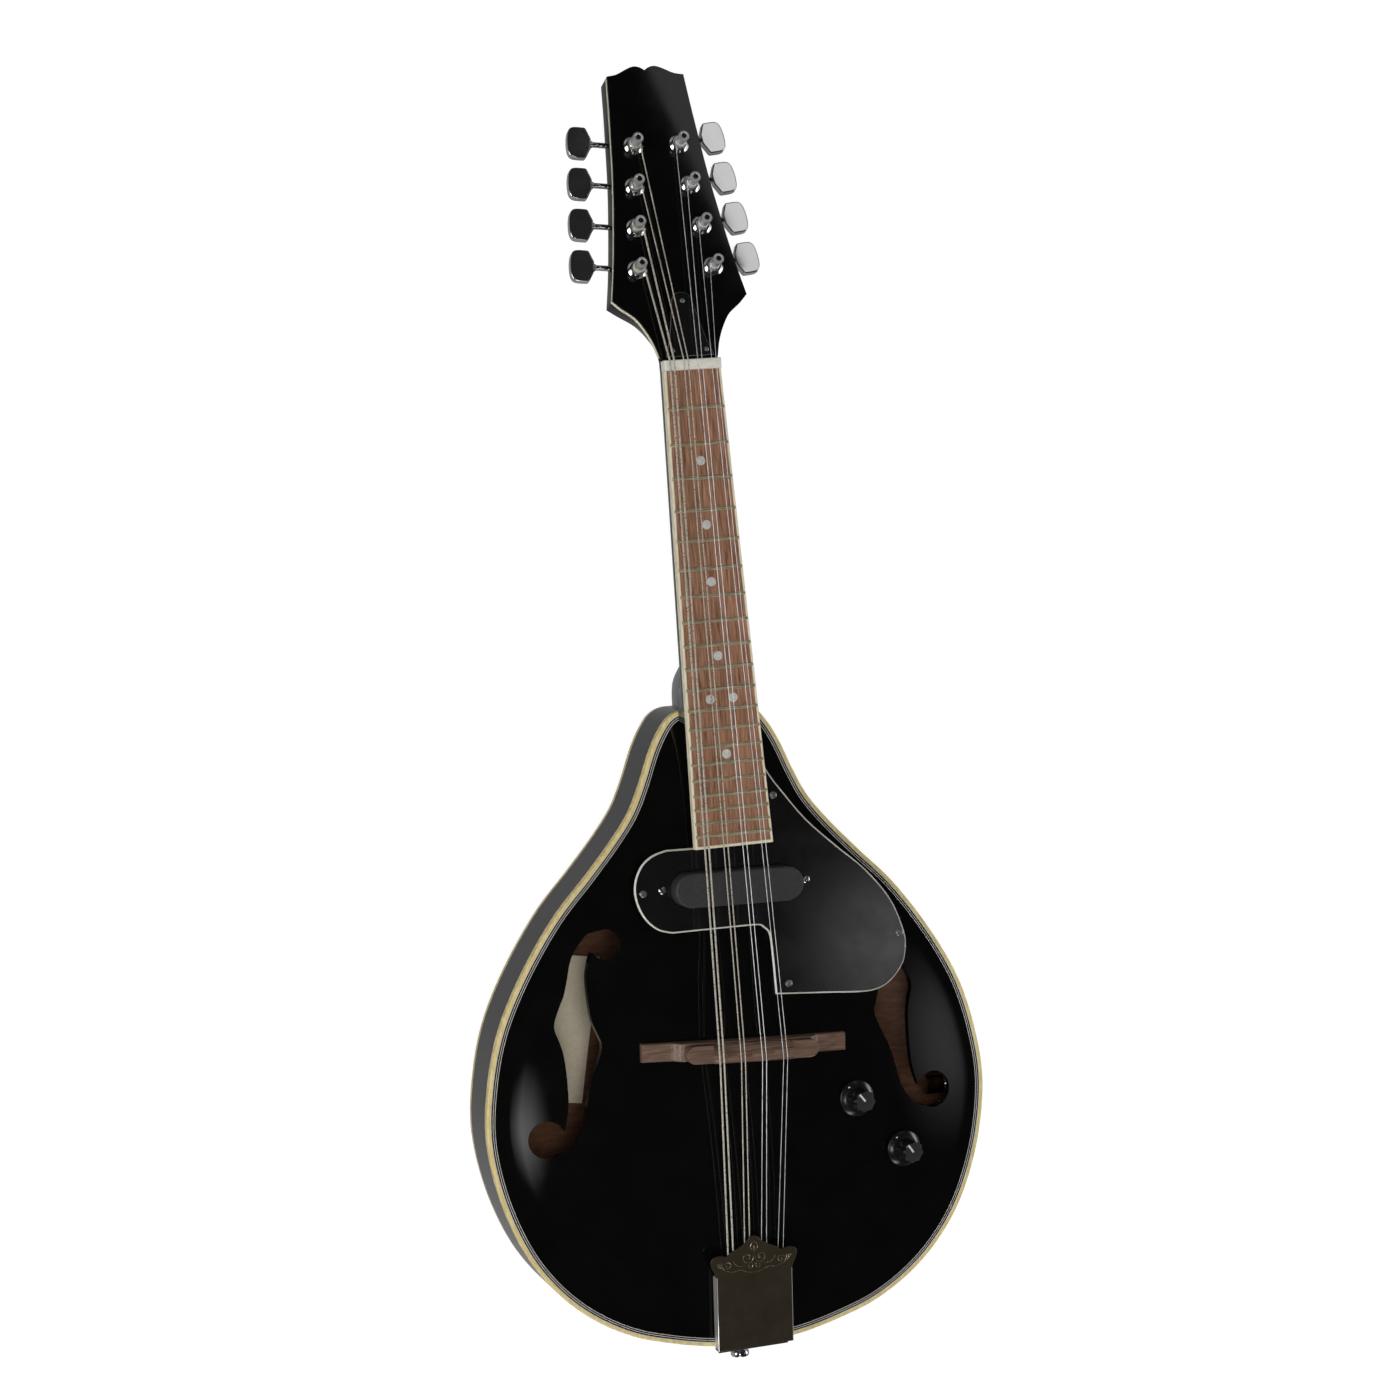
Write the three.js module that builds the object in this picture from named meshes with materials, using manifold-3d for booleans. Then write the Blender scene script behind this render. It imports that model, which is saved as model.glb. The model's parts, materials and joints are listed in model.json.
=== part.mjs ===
// Acoustic-electric mandolin: carved top and back, f-holes, eight strings in four courses, pickup and two controls.
// Millimetres. +X points to the treble side, +Y up the neck to the headstock, +Z out of the soundboard.
// The instrument lies on its back; the origin is the middle of the flat crown of the back.
import * as THREE from 'three';
import { mergeVertices } from 'three/addons/utils/BufferGeometryUtils.js';
import Module from 'manifold-3d';

const wasm = await Module();
wasm.setup();

// Whole instrument. Heights are first counted from the plane of the rim's upper edge
const SCALE_LENGTH = 350;
const BODY_LENGTH = 338;
const BODY_WIDTH = 274;
const RIM_DEPTH = 41;
const NECK_SEAT_WIDTH = 32;
const CLEARANCE = 0.3;
const OVERRUN = 2;

// Carved plates, rim, linings and bindings
const TOP_RISE = 13;
const TOP_EDGE_THICKNESS = 5;
const TOP_THICKNESS = 4.5;
const BACK_RISE = 15;
const BACK_EDGE_THICKNESS = 4;
const BACK_THICKNESS = 4;
const RIM_THICKNESS = 2.5;
const BINDING_THICKNESS = 1.8;
const LINING_THICKNESS = 5;
const LINING_HEIGHT = 6.5;
const ARCH_CENTRE_SHARE = 0.57692;
const F_HOLE_SPREAD = 38.4;
const F_HOLE_DROP = 97.5;
const F_HOLE_X = 68;
const F_HOLE_ABOVE_CENTRE = 78.2;
const F_HOLE_UPPER_RADIUS = 7.8;
const F_HOLE_LOWER_RADIUS = 9.8;

// Blocks, tone bars and label inside the body
const BLOCK_WIDTH = 62;
const BLOCK_LENGTH = 26;
const BAR_WIDTH = 6;
const BAR_HEIGHT = 8;
const BAR_LENGTH = BODY_LENGTH * 0.503;
const BAR_X = 28;
const LABEL_LENGTH = 79;
const LABEL_WIDTH = 36;
const LABEL_THICKNESS = 0.4;
const LABEL_X = BODY_WIDTH * -0.308;
const LABEL_ABOVE_CENTRE = 29.4;

// Neck and fingerboard
const BODY_END_FRET_SHARE = 0.5;
const BOARD_LEVEL_AT_BODY = 18.5;
const BOARD_THICKNESS = 5;
const BOARD_END_MARGIN = 5;
const BOARD_BINDING = 1.3;
const NUT_END_WIDTH = 30.6;
const BODY_END_WIDTH = 38.8;
const FRET_COUNT = 20;
const FRET_WIDTH = 2;
const FRET_HEIGHT = 1;
const FRET_END_MARGIN = 0.4;
const NECK_DEPTH_AT_NUT = 15;
const NECK_DEPTH_AT_HEEL = 17;
const HEEL_LENGTH = 36;
const HEEL_TIP_WIDTH = 22;
const HEEL_TIP_LENGTH = 20;
const EXTENSION_INSET = 0.8;
const NECK_UNDER_NUT = 6;
const NUT_THICKNESS = 5.5;
const NUT_RISE = 1.9;
const TRUSS_ROD_RADIUS = 2.2;
const TRUSS_ROD_DEPTH = 6;
const TRUSS_NUT_RADIUS = 2.8;
const TRUSS_NUT_LENGTH = 12;
const TRUSS_NUT_REACH = 21;
const TRUSS_POCKET_MARGIN = 1.2;

// Headstock
const HEAD_LENGTH = 169;
const HEAD_WIDTH = 72.8;
const HEAD_THICKNESS = 14.5;
const HEAD_DROP = 2.3;
const HEADPLATE_THICKNESS = 1.2;
const HEAD_BINDING_HEIGHT = 2.2;
const HEAD_BINDING_THICKNESS = 1.5;
const COVER_START = 7;
const COVER_PLATE_LENGTH = 35;
const COVER_PLATE_WIDTH = 26;
const COVER_PLATE_THICKNESS = 1.8;

// Tuners: four to a side, each with a worm on the knob's shaft and a wheel on the post
const TUNERS_PER_SIDE = 4;
const TUNER_SPACING = 23;
const FIRST_POST_Y = 56;
const FIRST_POST_X = 20.6;
const POST_RADIUS = 2.9;
const POST_WAIST_RADIUS = 2.3;
const POST_HEIGHT = 11;
const POST_HEAD_HEIGHT = 2.6;
const FERRULE_RADIUS = 5.2;
const FERRULE_TOP_RADIUS = 4.1;
const FERRULE_HEIGHT = 1.8;
const WHEEL_TEETH = 16;
const WHEEL_RADIUS = 4.6;
const WHEEL_TOOTH_DEPTH = 0.8;
const WHEEL_THICKNESS = 3;
const WORM_RADIUS = 1.7;
const WORM_OFFSET = 6.7;
const WORM_LENGTH = 8;
const SHAFT_RADIUS = 1.5;
const TUNER_PLATE_WIDTH = 14;
const TUNER_PLATE_THICKNESS = 1.2;
const TUNER_PLATE_MARGIN = 11;
const EAR_THICKNESS = 1.4;
const EAR_WIDTH = 6;
const EAR_RISE = 2.6;
const BUTTON_LENGTH = 13;
const BUTTON_WIDTH = 17.3;
const BUTTON_THICKNESS = 4.6;
const BUTTON_CENTRE = 25.4;

// Bridge
const BRIDGE_Y = -2.3;
const BRIDGE_FOOT_LENGTH = 111;
const BRIDGE_WIDTH = 9.5;
const BRIDGE_FOOT_LEVEL = 19.6;
const BRIDGE_WING_THICKNESS = 3.2;
const STUD_SPACING = 57;
const STUD_RADIUS = 1.5;
const STUD_HEIGHT = 7;
const BRIDGE_WHEEL_RADIUS = 4.4;
const BRIDGE_WHEEL_THICKNESS = 2.2;
const SADDLE_TRAVEL = 1.5;
const SADDLE_LENGTH = 71.4;
const SADDLE_WIDTH = 9.4;
const SADDLE_CREST_LEVEL = 31.8;
const SADDLE_SHOULDER_DROP = 2;
const SADDLE_CREST_BACK = 3.4;
const SADDLE_CREST_WIDTH = 1.4;

// Tailpiece and end pin
const TAILPIECE_X = -3.4;
const TAIL_BASE_WIDTH = 38.6;
const TAIL_BASE_LENGTH = 44;
const TAIL_SHEET = 1.2;
const TAIL_BASE_FRONT_LIFT = 1.11;
const TAIL_BASE_REAR_LEVEL = 0.8;
const TAIL_APRON_WIDTH = 26;
const TAIL_APRON_HEIGHT = 34;
const HOOK_INSET = 27;
const HOOK_HEIGHT = 3;
const HOOK_WIDTH = 1.6;
const COVER_WIDTH = 41.6;
const COVER_LENGTH = 61.4;
const COVER_EAR_REACH = 47.8;
const COVER_SHEET = 1;
const COVER_FRONT_LEVEL = 17;
const COVER_REAR_LEVEL = 7.5;
const COVER_REAR_INSET = 0.8;
const END_PIN_Z = -24;
const END_PIN_RADIUS = 5;
const END_PIN_WAIST_RADIUS = 3.4;
const END_PIN_REACH = 10.5;
const END_PIN_SHANK_RADIUS = 3;
const END_PIN_SHANK_LENGTH = 18;

// Pickguard, pickup, controls and output jack
const GUARD_LEVEL = 14;
const GUARD_THICKNESS = 2.2;
const GUARD_WIDTH = 146.2;
const GUARD_LENGTH = SCALE_LENGTH * 0.358;
const GUARD_LEFT = -52.9;
const GUARD_FOOT = SCALE_LENGTH * 0.0543;
const GUARD_PILLAR_RADIUS = 2.6;
const PICKUP_X = 1.2;
const PICKUP_Y = SCALE_LENGTH * 0.236;
const PICKUP_LENGTH = 69.4;
const PICKUP_WIDTH = 18;
const PICKUP_LEVEL = 23.6;
const PICKUP_FLANGE_LENGTH = 86;
const PICKUP_FLANGE_WIDTH = 13;
const PICKUP_FLANGE_THICKNESS = 1.8;
const VOLUME_X = 60;
const VOLUME_Y = -37;
const TONE_X = 85.6;
const TONE_Y = -67.8;
const POT_RADIUS = 8.5;
const POT_DEPTH = 9;
const POT_BUSH_RADIUS = 4.2;
const POT_BUSH_RISE = 1.5;
const POT_SHAFT_RADIUS = 2.8;
const KNOB_SKIRT_RADIUS = 9.7;
const KNOB_CAP_RADIUS = 6.2;
const KNOB_SKIRT_HEIGHT = 2.6;
const KNOB_HEIGHT = 12;
const KNOB_SCALLOP_DEPTH = 0.8;
const KNOB_SCALLOPS = 8;
const JACK_SLEEVE_RADIUS = 5.6;
const JACK_BORE_RADIUS = 3.25;
const JACK_FLANGE_RADIUS = 9;
const JACK_FLANGE_THICKNESS = 2;
const JACK_LENGTH = 26;

// Strings: bass pair first, one diameter for each of the four courses
const STRING_DIAMETERS = [0.97, 0.62, 0.37, 0.28];
const NUT_COURSE_SPACING = 7.5;
const NUT_PAIR_SPACING = 2.35;
const SADDLE_COURSE_SPACING = 11.5;
const SADDLE_PAIR_SPACING = 2.15;
const SADDLE_COURSE_SHIFT = -0.7;
const TAIL_COURSE_SPACING = 8.6;
const TAIL_PAIR_SPACING = 3;
const TAIL_COURSE_SHIFT = 1.3;
const WINDING_GAP = 0.45;
const WINDING_LIFT = 0.6;

// Angles, in radians
const NECK_ANGLE = THREE.MathUtils.degToRad(3.1);
const HEAD_ANGLE = THREE.MathUtils.degToRad(15.9);
const ROW_SLANT = THREE.MathUtils.degToRad(6.8);
const BRIDGE_TURN = THREE.MathUtils.degToRad(-3.4);
const PICKUP_TURN = THREE.MathUtils.degToRad(-1.7);
const LABEL_TURN = THREE.MathUtils.degToRad(-11);
const UPPER_LOBE_ANGLES = [-30, -265].map(THREE.MathUtils.degToRad);
const LOWER_LOBE_ANGLES = [157, -125].map(THREE.MathUtils.degToRad);

// Counts of facets
const OUTLINE_PIECES = 64;
const ROUND_SIDES = 12;
const SMALL_SIDES = 8;
const NECK_STEPS = 8;
const EXTENSION_STEPS = 10;
const BAR_STEPS = 10;
const LABEL_STEPS = 10;
const FOOT_STEPS = 16;
const STADIUM_STEPS = 6;
const SADDLE_END_STEPS = 4;
const LOBE_STEPS = 11;
const WINDING_TURNS = 3;
const WINDING_STEPS = 12;
const WINDING_SIDES = 5;

// Half of the body's outline from the tail to the shoulder: shares of the half width and of the length
const OUTLINE_SHARES = [
  [0, 0], [0.175, 0.006], [0.335, 0.02], [0.5, 0.042], [0.66, 0.081], [0.79, 0.132], [0.89, 0.195],
  [0.965, 0.278], [1, 0.367], [0.983, 0.448], [0.928, 0.533], [0.825, 0.616], [0.685, 0.698],
  [0.547, 0.758], [0.44, 0.806], [0.36, 0.848], [0.31, 0.888], [0.275, 0.923], [0.256, 0.941],
  [0.232, 0.96], [0.21, 0.974], [0.185, 0.987], [0.153, 0.996],
];

// Rings of the carved plates, as shares of the way from the middle to the edge
const TOP_RING_SHARES = [1, 0.93, 0.85, 0.72, 0.54, 0.3];
const UNDER_RING_SHARES = [1, 0.9, 0.76, 0.5];
const CROWN_SHARE = 0.27;
const ARCH_FOOT_SHARE = 0.95;
const ARCH_POWER_SHARE = 2.2;
const ARCH_SOFT_SHARE = 0.1;

// Stem of an f-hole: shares of the spread and of the drop from the upper to the lower lobe
const F_OUTER_SHARES = [
  [0.214, -0.066], [0.357, -0.011], [0.445, 0.036], [0.508, 0.094], [0.555, 0.163], [0.625, 0.251],
  [0.711, 0.319], [0.789, 0.407], [0.732, 0.491], [0.693, 0.565], [0.677, 0.677], [0.682, 0.809], [0.714, 0.89],
];
const F_INNER_SHARES = [
  [0.612, 1.017], [0.521, 0.961], [0.466, 0.882], [0.406, 0.783], [0.336, 0.694], [0.18, 0.544],
  [0.224, 0.465], [0.279, 0.4], [0.302, 0.318], [0.305, 0.205], [0.284, 0.135], [0.208, 0.046],
];

// Heel's levels, and how round the neck and the heel are: one would be an ellipse
const HEEL_STEP_SHARES = [0, 0.15, 0.35, 0.55, 0.78, 1];
const NECK_ROUND_SHARE = 0.82;
const HEEL_ROUND_SHARE = 0.7;

// Half of the headstock's face from the tip to the nut: shares of the half width and of the length
const HEAD_SHARES = [
  [0, 0.987], [0.075, 0.997], [0.16, 1], [0.26, 0.993], [0.43, 0.975], [0.577, 0.969], [0.613, 0.864],
  [0.657, 0.757], [0.709, 0.639], [0.786, 0.509], [0.896, 0.352], [1, 0.235], [0.89, 0.211], [0.695, 0.176],
  [0.563, 0.13], [0.478, 0.085],
];

// Width of the headstock's back at the throat, as a share of its face
const THROAT_BACK_SHARE = 0.55;

// Half of the cover over the truss rod's nut, from its top to its foot
const BELL_SHARES = [
  [0, 1], [0.2, 0.985], [0.36, 0.93], [0.44, 0.84], [0.5, 0.72], [0.62, 0.5], [0.78, 0.25], [1, 0],
];

// Pickguard: shares of its width and length from its lower bass corner, treble edge first
const GUARD_TREBLE_SHARES = [
  [0.507, 1], [0.528, 0.954], [0.566, 0.888], [0.653, 0.753], [0.759, 0.63], [0.865, 0.515], [0.953, 0.377],
  [0.996, 0.236], [0.999, 0.176], [0.99, 0.119], [0.969, 0.077], [0.941, 0.042], [0.904, 0.013], [0.86, 0],
  [0.806, 0], [0.693, 0.013],
];
const GUARD_STEP_SHARES = [
  [0.493, 0.034], [0.49, 0.176], [0.487, 0.263], [0.481, 0.298], [0.465, 0.318], [0.445, 0.331], [0.367, 0.334],
];
const GUARD_WING_SHARES = [
  [0.129, 0.337], [0.08, 0.354], [0.04, 0.393], [0.014, 0.444], [0.001, 0.498], [0, 0.545], [0.011, 0.591],
  [0.035, 0.636], [0.075, 0.669], [0.126, 0.685], [0.228, 0.6815],
];
const GUARD_SCREW_SHARES = [[0.031, 0.514], [0.535, 0.866], [0.976, 0.233], [0.544, 0.074]];

// Half of the tailpiece cover's front edge: shares of the ears' half reach and of the cover's length
const CROWN_SHARES = [
  [0, 1], [0.085, 0.99], [0.16, 0.957], [0.32, 0.912], [0.49, 0.882], [0.63, 0.845], [0.72, 0.853],
  [0.81, 0.859], [0.93, 0.847], [0.99, 0.814], [0.98, 0.764], [0.91, 0.705],
];
const COVER_SIDE_TOP_SHARE = 0.664;

// Tuner button seen on its flat side, from the shaft outwards: shares of its length and half width
const BUTTON_SHARES = [[0, 0.25], [0.1, 0.62], [0.25, 1], [0.72, 1], [0.9, 0.72], [1, 0.25]];

// Finishes
const finish = (color, roughness, metalness) => new THREE.MeshStandardMaterial({ color, roughness, metalness });
const blackLacquer = finish(0x0b0a0a, 0.12, 0);
const spruce = finish(0xd9b98a, 0.7, 0);
const maple = finish(0xc9a06a, 0.7, 0);
const mahogany = finish(0x6b3f24, 0.7, 0);
const creamBinding = finish(0xe9dcb4, 0.35, 0);
const paper = finish(0xe6dcc0, 0.9, 0);
const rosewood = finish(0x5b3726, 0.5, 0);
const nickel = finish(0xc9c9c4, 0.3, 1);
const chrome = finish(0xd8d9db, 0.08, 1);
const darkChrome = finish(0x6d6760, 0.12, 1);
const bone = finish(0xf1ead6, 0.35, 0);
const steel = finish(0x9b9ea1, 0.3, 1);
const wound = finish(0xb9a88a, 0.35, 1);
const blackPlastic = finish(0x101011, 0.2, 0);
const greyResin = finish(0x3c3c3c, 0.85, 0);

// The instrument is raised so that the crown of its back lies at height zero
const mandolin = new THREE.Group();
const body = new THREE.Group();
mandolin.add(body);

const BODY_TOP_Y = SCALE_LENGTH * BODY_END_FRET_SHARE;
const BODY_TAIL_Y = BODY_TOP_Y - BODY_LENGTH;
const ARCH_CENTRE = new THREE.Vector2(0, BODY_TOP_Y - BODY_LENGTH * ARCH_CENTRE_SHARE);
body.position.set(0, -ARCH_CENTRE.y, RIM_DEPTH + BACK_RISE);

function addPiece(name, geometry, material, parent = body) {
  const mesh = new THREE.Mesh(geometry, material);
  mesh.name = name;
  parent.add(mesh);
  return mesh;
}

// Turns a closed skin the right way out
function facingOut(geometry) {
  const position = geometry.getAttribute('position');
  const index = geometry.getIndex();
  const corners = [0, 1, 2].map(() => new THREE.Vector3());
  let volume = 0;
  for (let i = 0; i < index.count; i += 3) {
    corners.forEach((corner, k) => corner.fromBufferAttribute(position, index.getX(i + k)));
    volume += corners[0].dot(corners[1].clone().cross(corners[2]));
  }
  if (volume < 0) {
    for (let i = 0; i < index.count; i += 3) {
      const second = index.getX(i + 1);
      index.setX(i + 1, index.getX(i + 2));
      index.setX(i + 2, second);
    }
  }
  return geometry;
}

// Skins a row of sections with equally many points; open ends close on a tip or on the section's middle
function loft(sections, { ring = false, tips = [] } = {}) {
  const count = sections[0].length;
  const points = sections.flat();
  const indices = [];
  const rows = ring ? sections.length : sections.length - 1;
  for (let i = 0; i < rows; i += 1) {
    const next = (i + 1) % sections.length;
    for (let k = 0; k < count; k += 1) {
      const m = (k + 1) % count;
      indices.push(i * count + k, i * count + m, next * count + m);
      indices.push(i * count + k, next * count + m, next * count + k);
    }
  }
  if (!ring) {
    [0, sections.length - 1].forEach((row, end) => {
      const middle = new THREE.Vector3();
      sections[row].forEach((point) => middle.addScaledVector(point, 1 / count));
      points.push(tips[end] ?? middle);
      for (let k = 0; k < count; k += 1) {
        const pair = [row * count + k, row * count + (k + 1) % count];
        indices.push(points.length - 1, ...(end ? pair : pair.reverse()));
      }
    });
  }
  const geometry = new THREE.BufferGeometry().setFromPoints(points);
  geometry.setIndex(indices);
  return facingOut(geometry);
}

// A BufferGeometry as a solid for cutting and joining, and back
function toSolid(geometry) {
  const bare = geometry.index ? geometry.toNonIndexed() : geometry.clone();
  bare.deleteAttribute('normal');
  bare.deleteAttribute('uv');
  const merged = mergeVertices(bare);
  const vertProperties = merged.getAttribute('position').array;
  const triVerts = new Uint32Array(merged.getIndex().array);
  return new wasm.Manifold(new wasm.Mesh({ numProp: 3, vertProperties, triVerts }));
}

function toGeometry(solid) {
  const { vertProperties, triVerts } = solid.getMesh();
  const geometry = new THREE.BufferGeometry();
  geometry.setAttribute('position', new THREE.BufferAttribute(vertProperties, 3));
  geometry.setIndex(new THREE.BufferAttribute(triVerts, 1));
  return geometry;
}

function join(...geometries) {
  return toGeometry(geometries.map(toSolid).reduce((whole, piece) => whole.add(piece)));
}

function cut(geometry, ...tools) {
  return toGeometry(tools.map(toSolid).reduce((whole, tool) => whole.subtract(tool), toSolid(geometry)));
}

const common = (first, second) => toGeometry(toSolid(first).intersect(toSolid(second)));

// Plain shapes: a slab stands on its base height, a box and a rod are centred sideways
function slab(outline, thickness, base = 0) {
  const geometry = new THREE.ExtrudeGeometry(new THREE.Shape(outline), { depth: thickness, bevelEnabled: false });
  return geometry.translate(0, 0, base);
}

function box(x0, x1, y0, y1, z0, z1) {
  const geometry = new THREE.BoxGeometry(x1 - x0, y1 - y0, z1 - z0);
  return geometry.translate((x0 + x1) / 2, (y0 + y1) / 2, (z0 + z1) / 2);
}

// A turned piece: radius and height pairs, from the axis to the axis, turned round the z axis
function turned(profile, sides = ROUND_SIDES) {
  const points = profile.map(([radius, height]) => new THREE.Vector2(radius, height));
  return new THREE.LatheGeometry(points, sides).rotateX(Math.PI / 2);
}

const rod = (radius, z0, z1, sides = ROUND_SIDES) => turned([[0, z0], [radius, z0], [radius, z1], [0, z1]], sides);
const faced = (geometry) => facingOut(mergeVertices(bareOf(geometry)));

function bareOf(geometry) {
  const bare = geometry.clone();
  bare.deleteAttribute('normal');
  bare.deleteAttribute('uv');
  return bare;
}

// Moves a closed outline inwards by a distance, with its corners kept sharp
function inset(points, distance) {
  const turn = Math.sign(THREE.ShapeUtils.area(points));
  return points.map((point, i) => {
    const before = points[(i + points.length - 1) % points.length];
    const after = points[(i + 1) % points.length];
    const normals = [point.clone().sub(before), after.clone().sub(point)].map((edge) => {
      const { x, y } = edge.normalize();
      return new THREE.Vector2(-y * turn, x * turn);
    });
    const push = normals[0].clone().add(normals[1]);
    return point.clone().addScaledVector(push, distance / (1 + normals[0].dot(normals[1])));
  });
}

// A band between two outlines, closed round the body or open between the ends of the outline
function band(outer, inner, z0, z1, { ring = true } = {}) {
  const sections = outer.map((point, i) => [
    new THREE.Vector3(point.x, point.y, z0),
    new THREE.Vector3(point.x, point.y, z1),
    new THREE.Vector3(inner[i].x, inner[i].y, z1),
    new THREE.Vector3(inner[i].x, inner[i].y, z0),
  ]);
  return loft(sections, { ring });
}

// A round tube along points, without a twist
function tube(points, radius, sides = WINDING_SIDES) {
  let side = null;
  const sections = points.map((point, i) => {
    const before = points[Math.max(i - 1, 0)];
    const after = points[Math.min(i + 1, points.length - 1)];
    const along = after.clone().sub(before).normalize();
    side = side ?? new THREE.Vector3(1, 0, 0);
    side = side.clone().addScaledVector(along, -side.dot(along)).normalize();
    const across = along.clone().cross(side);
    return Array.from({ length: sides }, (_, k) => {
      const angle = (2 * Math.PI * k) / sides;
      const reach = side.clone().multiplyScalar(Math.cos(angle)).addScaledVector(across, Math.sin(angle));
      return point.clone().addScaledVector(reach, radius);
    });
  });
  return loft(sections);
}

// Mirrors half an outline, given from the middle line round to the middle line or its foot
function bothHalves(half) {
  const other = half.filter((point) => point.x > 0).map((point) => new THREE.Vector2(-point.x, point.y));
  return [...half, ...other.reverse()];
}

const scaled = (shares, width, length) => shares.map(([x, y]) => new THREE.Vector2(x * width, y * length));

// Outline of the body, from the treble side of the neck seat round the tail to the bass side of the seat
const outlineHalf = [
  ...scaled(OUTLINE_SHARES, BODY_WIDTH / 2, BODY_LENGTH),
  new THREE.Vector2(NECK_SEAT_WIDTH / 2, BODY_LENGTH),
].map((point) => point.add(new THREE.Vector2(0, BODY_TAIL_Y)));
const outlineControls = [
  ...outlineHalf.slice(1).reverse(),
  ...outlineHalf.map((point, i) => (i ? new THREE.Vector2(-point.x, point.y) : point)),
];
const outline = new THREE.SplineCurve(outlineControls).getPoints(OUTLINE_PIECES);
const plateOutline = inset(outline, BINDING_THICKNESS + CLEARANCE);

// Height of the carved arch as a share of its rise, from the middle to the edge
function archShare(share) {
  const soft = (value) => (value + Math.hypot(value, ARCH_SOFT_SHARE)) / 2;
  const fall = (at) => soft(1 - (at / ARCH_FOOT_SHARE) ** ARCH_POWER_SHARE);
  return (fall(share) - fall(1)) / (fall(0) - fall(1));
}

// How far a point lies from the middle of the plates, as a share of the way to their edge
function plateShare(x, y) {
  const reach = new THREE.Vector2(x, y).sub(ARCH_CENTRE);
  const distance = reach.length();
  if (distance === 0) return 0;
  let share = 0;
  plateOutline.forEach((point, i) => {
    const start = point.clone().sub(ARCH_CENTRE);
    const edge = plateOutline[(i + 1) % plateOutline.length].clone().sub(point);
    const slope = reach.cross(edge);
    if (slope === 0) return;
    const along = start.cross(edge) / slope;
    const across = start.cross(reach) / slope;
    if (along > 0 && across >= 0 && across <= 1) share = 1 / along;
  });
  return share;
}

// Height of a faceted plate between its rings
function heightBetween(shares, heightOf, share) {
  const stops = [...shares, 0];
  const i = Math.max(stops.findIndex((stop) => stop <= share), 1);
  const part = (share - stops[i]) / (stops[i - 1] - stops[i]);
  return THREE.MathUtils.lerp(heightOf(stops[i]), heightOf(stops[i - 1]), part);
}

const topOuter = (share) => TOP_RISE * archShare(share);
const topInner = (share) => (share < UNDER_RING_SHARES[1] ? topOuter(share) - TOP_THICKNESS : -TOP_EDGE_THICKNESS);
const backShare = (share) => Math.min(archShare(share) / archShare(CROWN_SHARE), 1);
const backOuter = (share) => -RIM_DEPTH - BACK_RISE * backShare(share);
const backInner = (share) => (share < UNDER_RING_SHARES[1]
  ? backOuter(share) + BACK_THICKNESS : BACK_EDGE_THICKNESS - RIM_DEPTH);
const topHeight = (x, y) => heightBetween(TOP_RING_SHARES, topOuter, plateShare(x, y));
const underTopHeight = (x, y) => heightBetween(UNDER_RING_SHARES, topInner, plateShare(x, y));
const insideBackHeight = (x, y) => heightBetween(UNDER_RING_SHARES, backInner, plateShare(x, y));

// A carved plate is skinned over rings of its outline that shrink towards its middle
function carvedPlate(outerShares, outerHeight, innerHeight) {
  const ringAt = (share, height) => plateOutline.map((point) => {
    const { x, y } = point.clone().sub(ARCH_CENTRE).multiplyScalar(share).add(ARCH_CENTRE);
    return new THREE.Vector3(x, y, height);
  });
  const outer = outerShares.map((share) => ringAt(share, outerHeight(share)));
  const inner = UNDER_RING_SHARES.map((share) => ringAt(share, innerHeight(share)));
  const tip = (height) => new THREE.Vector3(ARCH_CENTRE.x, ARCH_CENTRE.y, height);
  return loft([...outer.reverse(), ...inner], { tips: [tip(outerHeight(0)), tip(innerHeight(0))] });
}

// One f-hole's outline, on the treble side or mirrored to the bass side
function fHole(side) {
  const start = new THREE.Vector2(F_HOLE_X, ARCH_CENTRE.y + F_HOLE_ABOVE_CENTRE);
  const at = ([x, y]) => new THREE.Vector2(x * F_HOLE_SPREAD, -y * F_HOLE_DROP).add(start);
  const lobe = (centre, radius, [from, to]) => Array.from({ length: LOBE_STEPS + 1 }, (_, i) => {
    const angle = THREE.MathUtils.lerp(from, to, i / LOBE_STEPS);
    return new THREE.Vector2(Math.cos(angle), Math.sin(angle)).multiplyScalar(radius).add(centre);
  });
  const points = [
    ...lobe(at([0, 0]), F_HOLE_UPPER_RADIUS, UPPER_LOBE_ANGLES),
    ...F_OUTER_SHARES.map(at),
    ...lobe(at([1, 1]), F_HOLE_LOWER_RADIUS, LOWER_LOBE_ANGLES),
    ...F_INNER_SHARES.map(at),
  ];
  return points.map((point) => new THREE.Vector2(point.x * side, point.y));
}

// Soundboard, with its f-holes and the holes for the two controls
const controls = [
  { name: 'volume', x: VOLUME_X, y: VOLUME_Y },
  { name: 'tone', x: TONE_X, y: TONE_Y },
];
controls.forEach((control) => {
  const { x, y } = control;
  const step = KNOB_SKIRT_RADIUS;
  const slopeX = (topHeight(x + step, y) - topHeight(x - step, y)) / (step + step);
  const slopeY = (topHeight(x, y + step) - topHeight(x, y - step)) / (step + step);
  const normal = new THREE.Vector3(-slopeX, -slopeY, 1).normalize();
  control.wall = (topHeight(x, y) - underTopHeight(x, y)) * normal.z;
  control.group = new THREE.Group();
  control.group.position.set(x, y, topHeight(x, y));
  control.group.quaternion.setFromUnitVectors(new THREE.Vector3(0, 0, 1), normal);
  control.group.updateMatrix();
  body.add(control.group);
});
const throughTop = [-1, 1].map((side) => slab(fHole(side), TOP_RISE + OVERRUN + TOP_EDGE_THICKNESS + OVERRUN,
  -TOP_EDGE_THICKNESS - OVERRUN));
const controlHoles = controls.map(({ group, wall }) => faced(
  rod(POT_BUSH_RADIUS + CLEARANCE, -wall - OVERRUN, OVERRUN),
).applyMatrix4(group.matrix));
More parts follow.
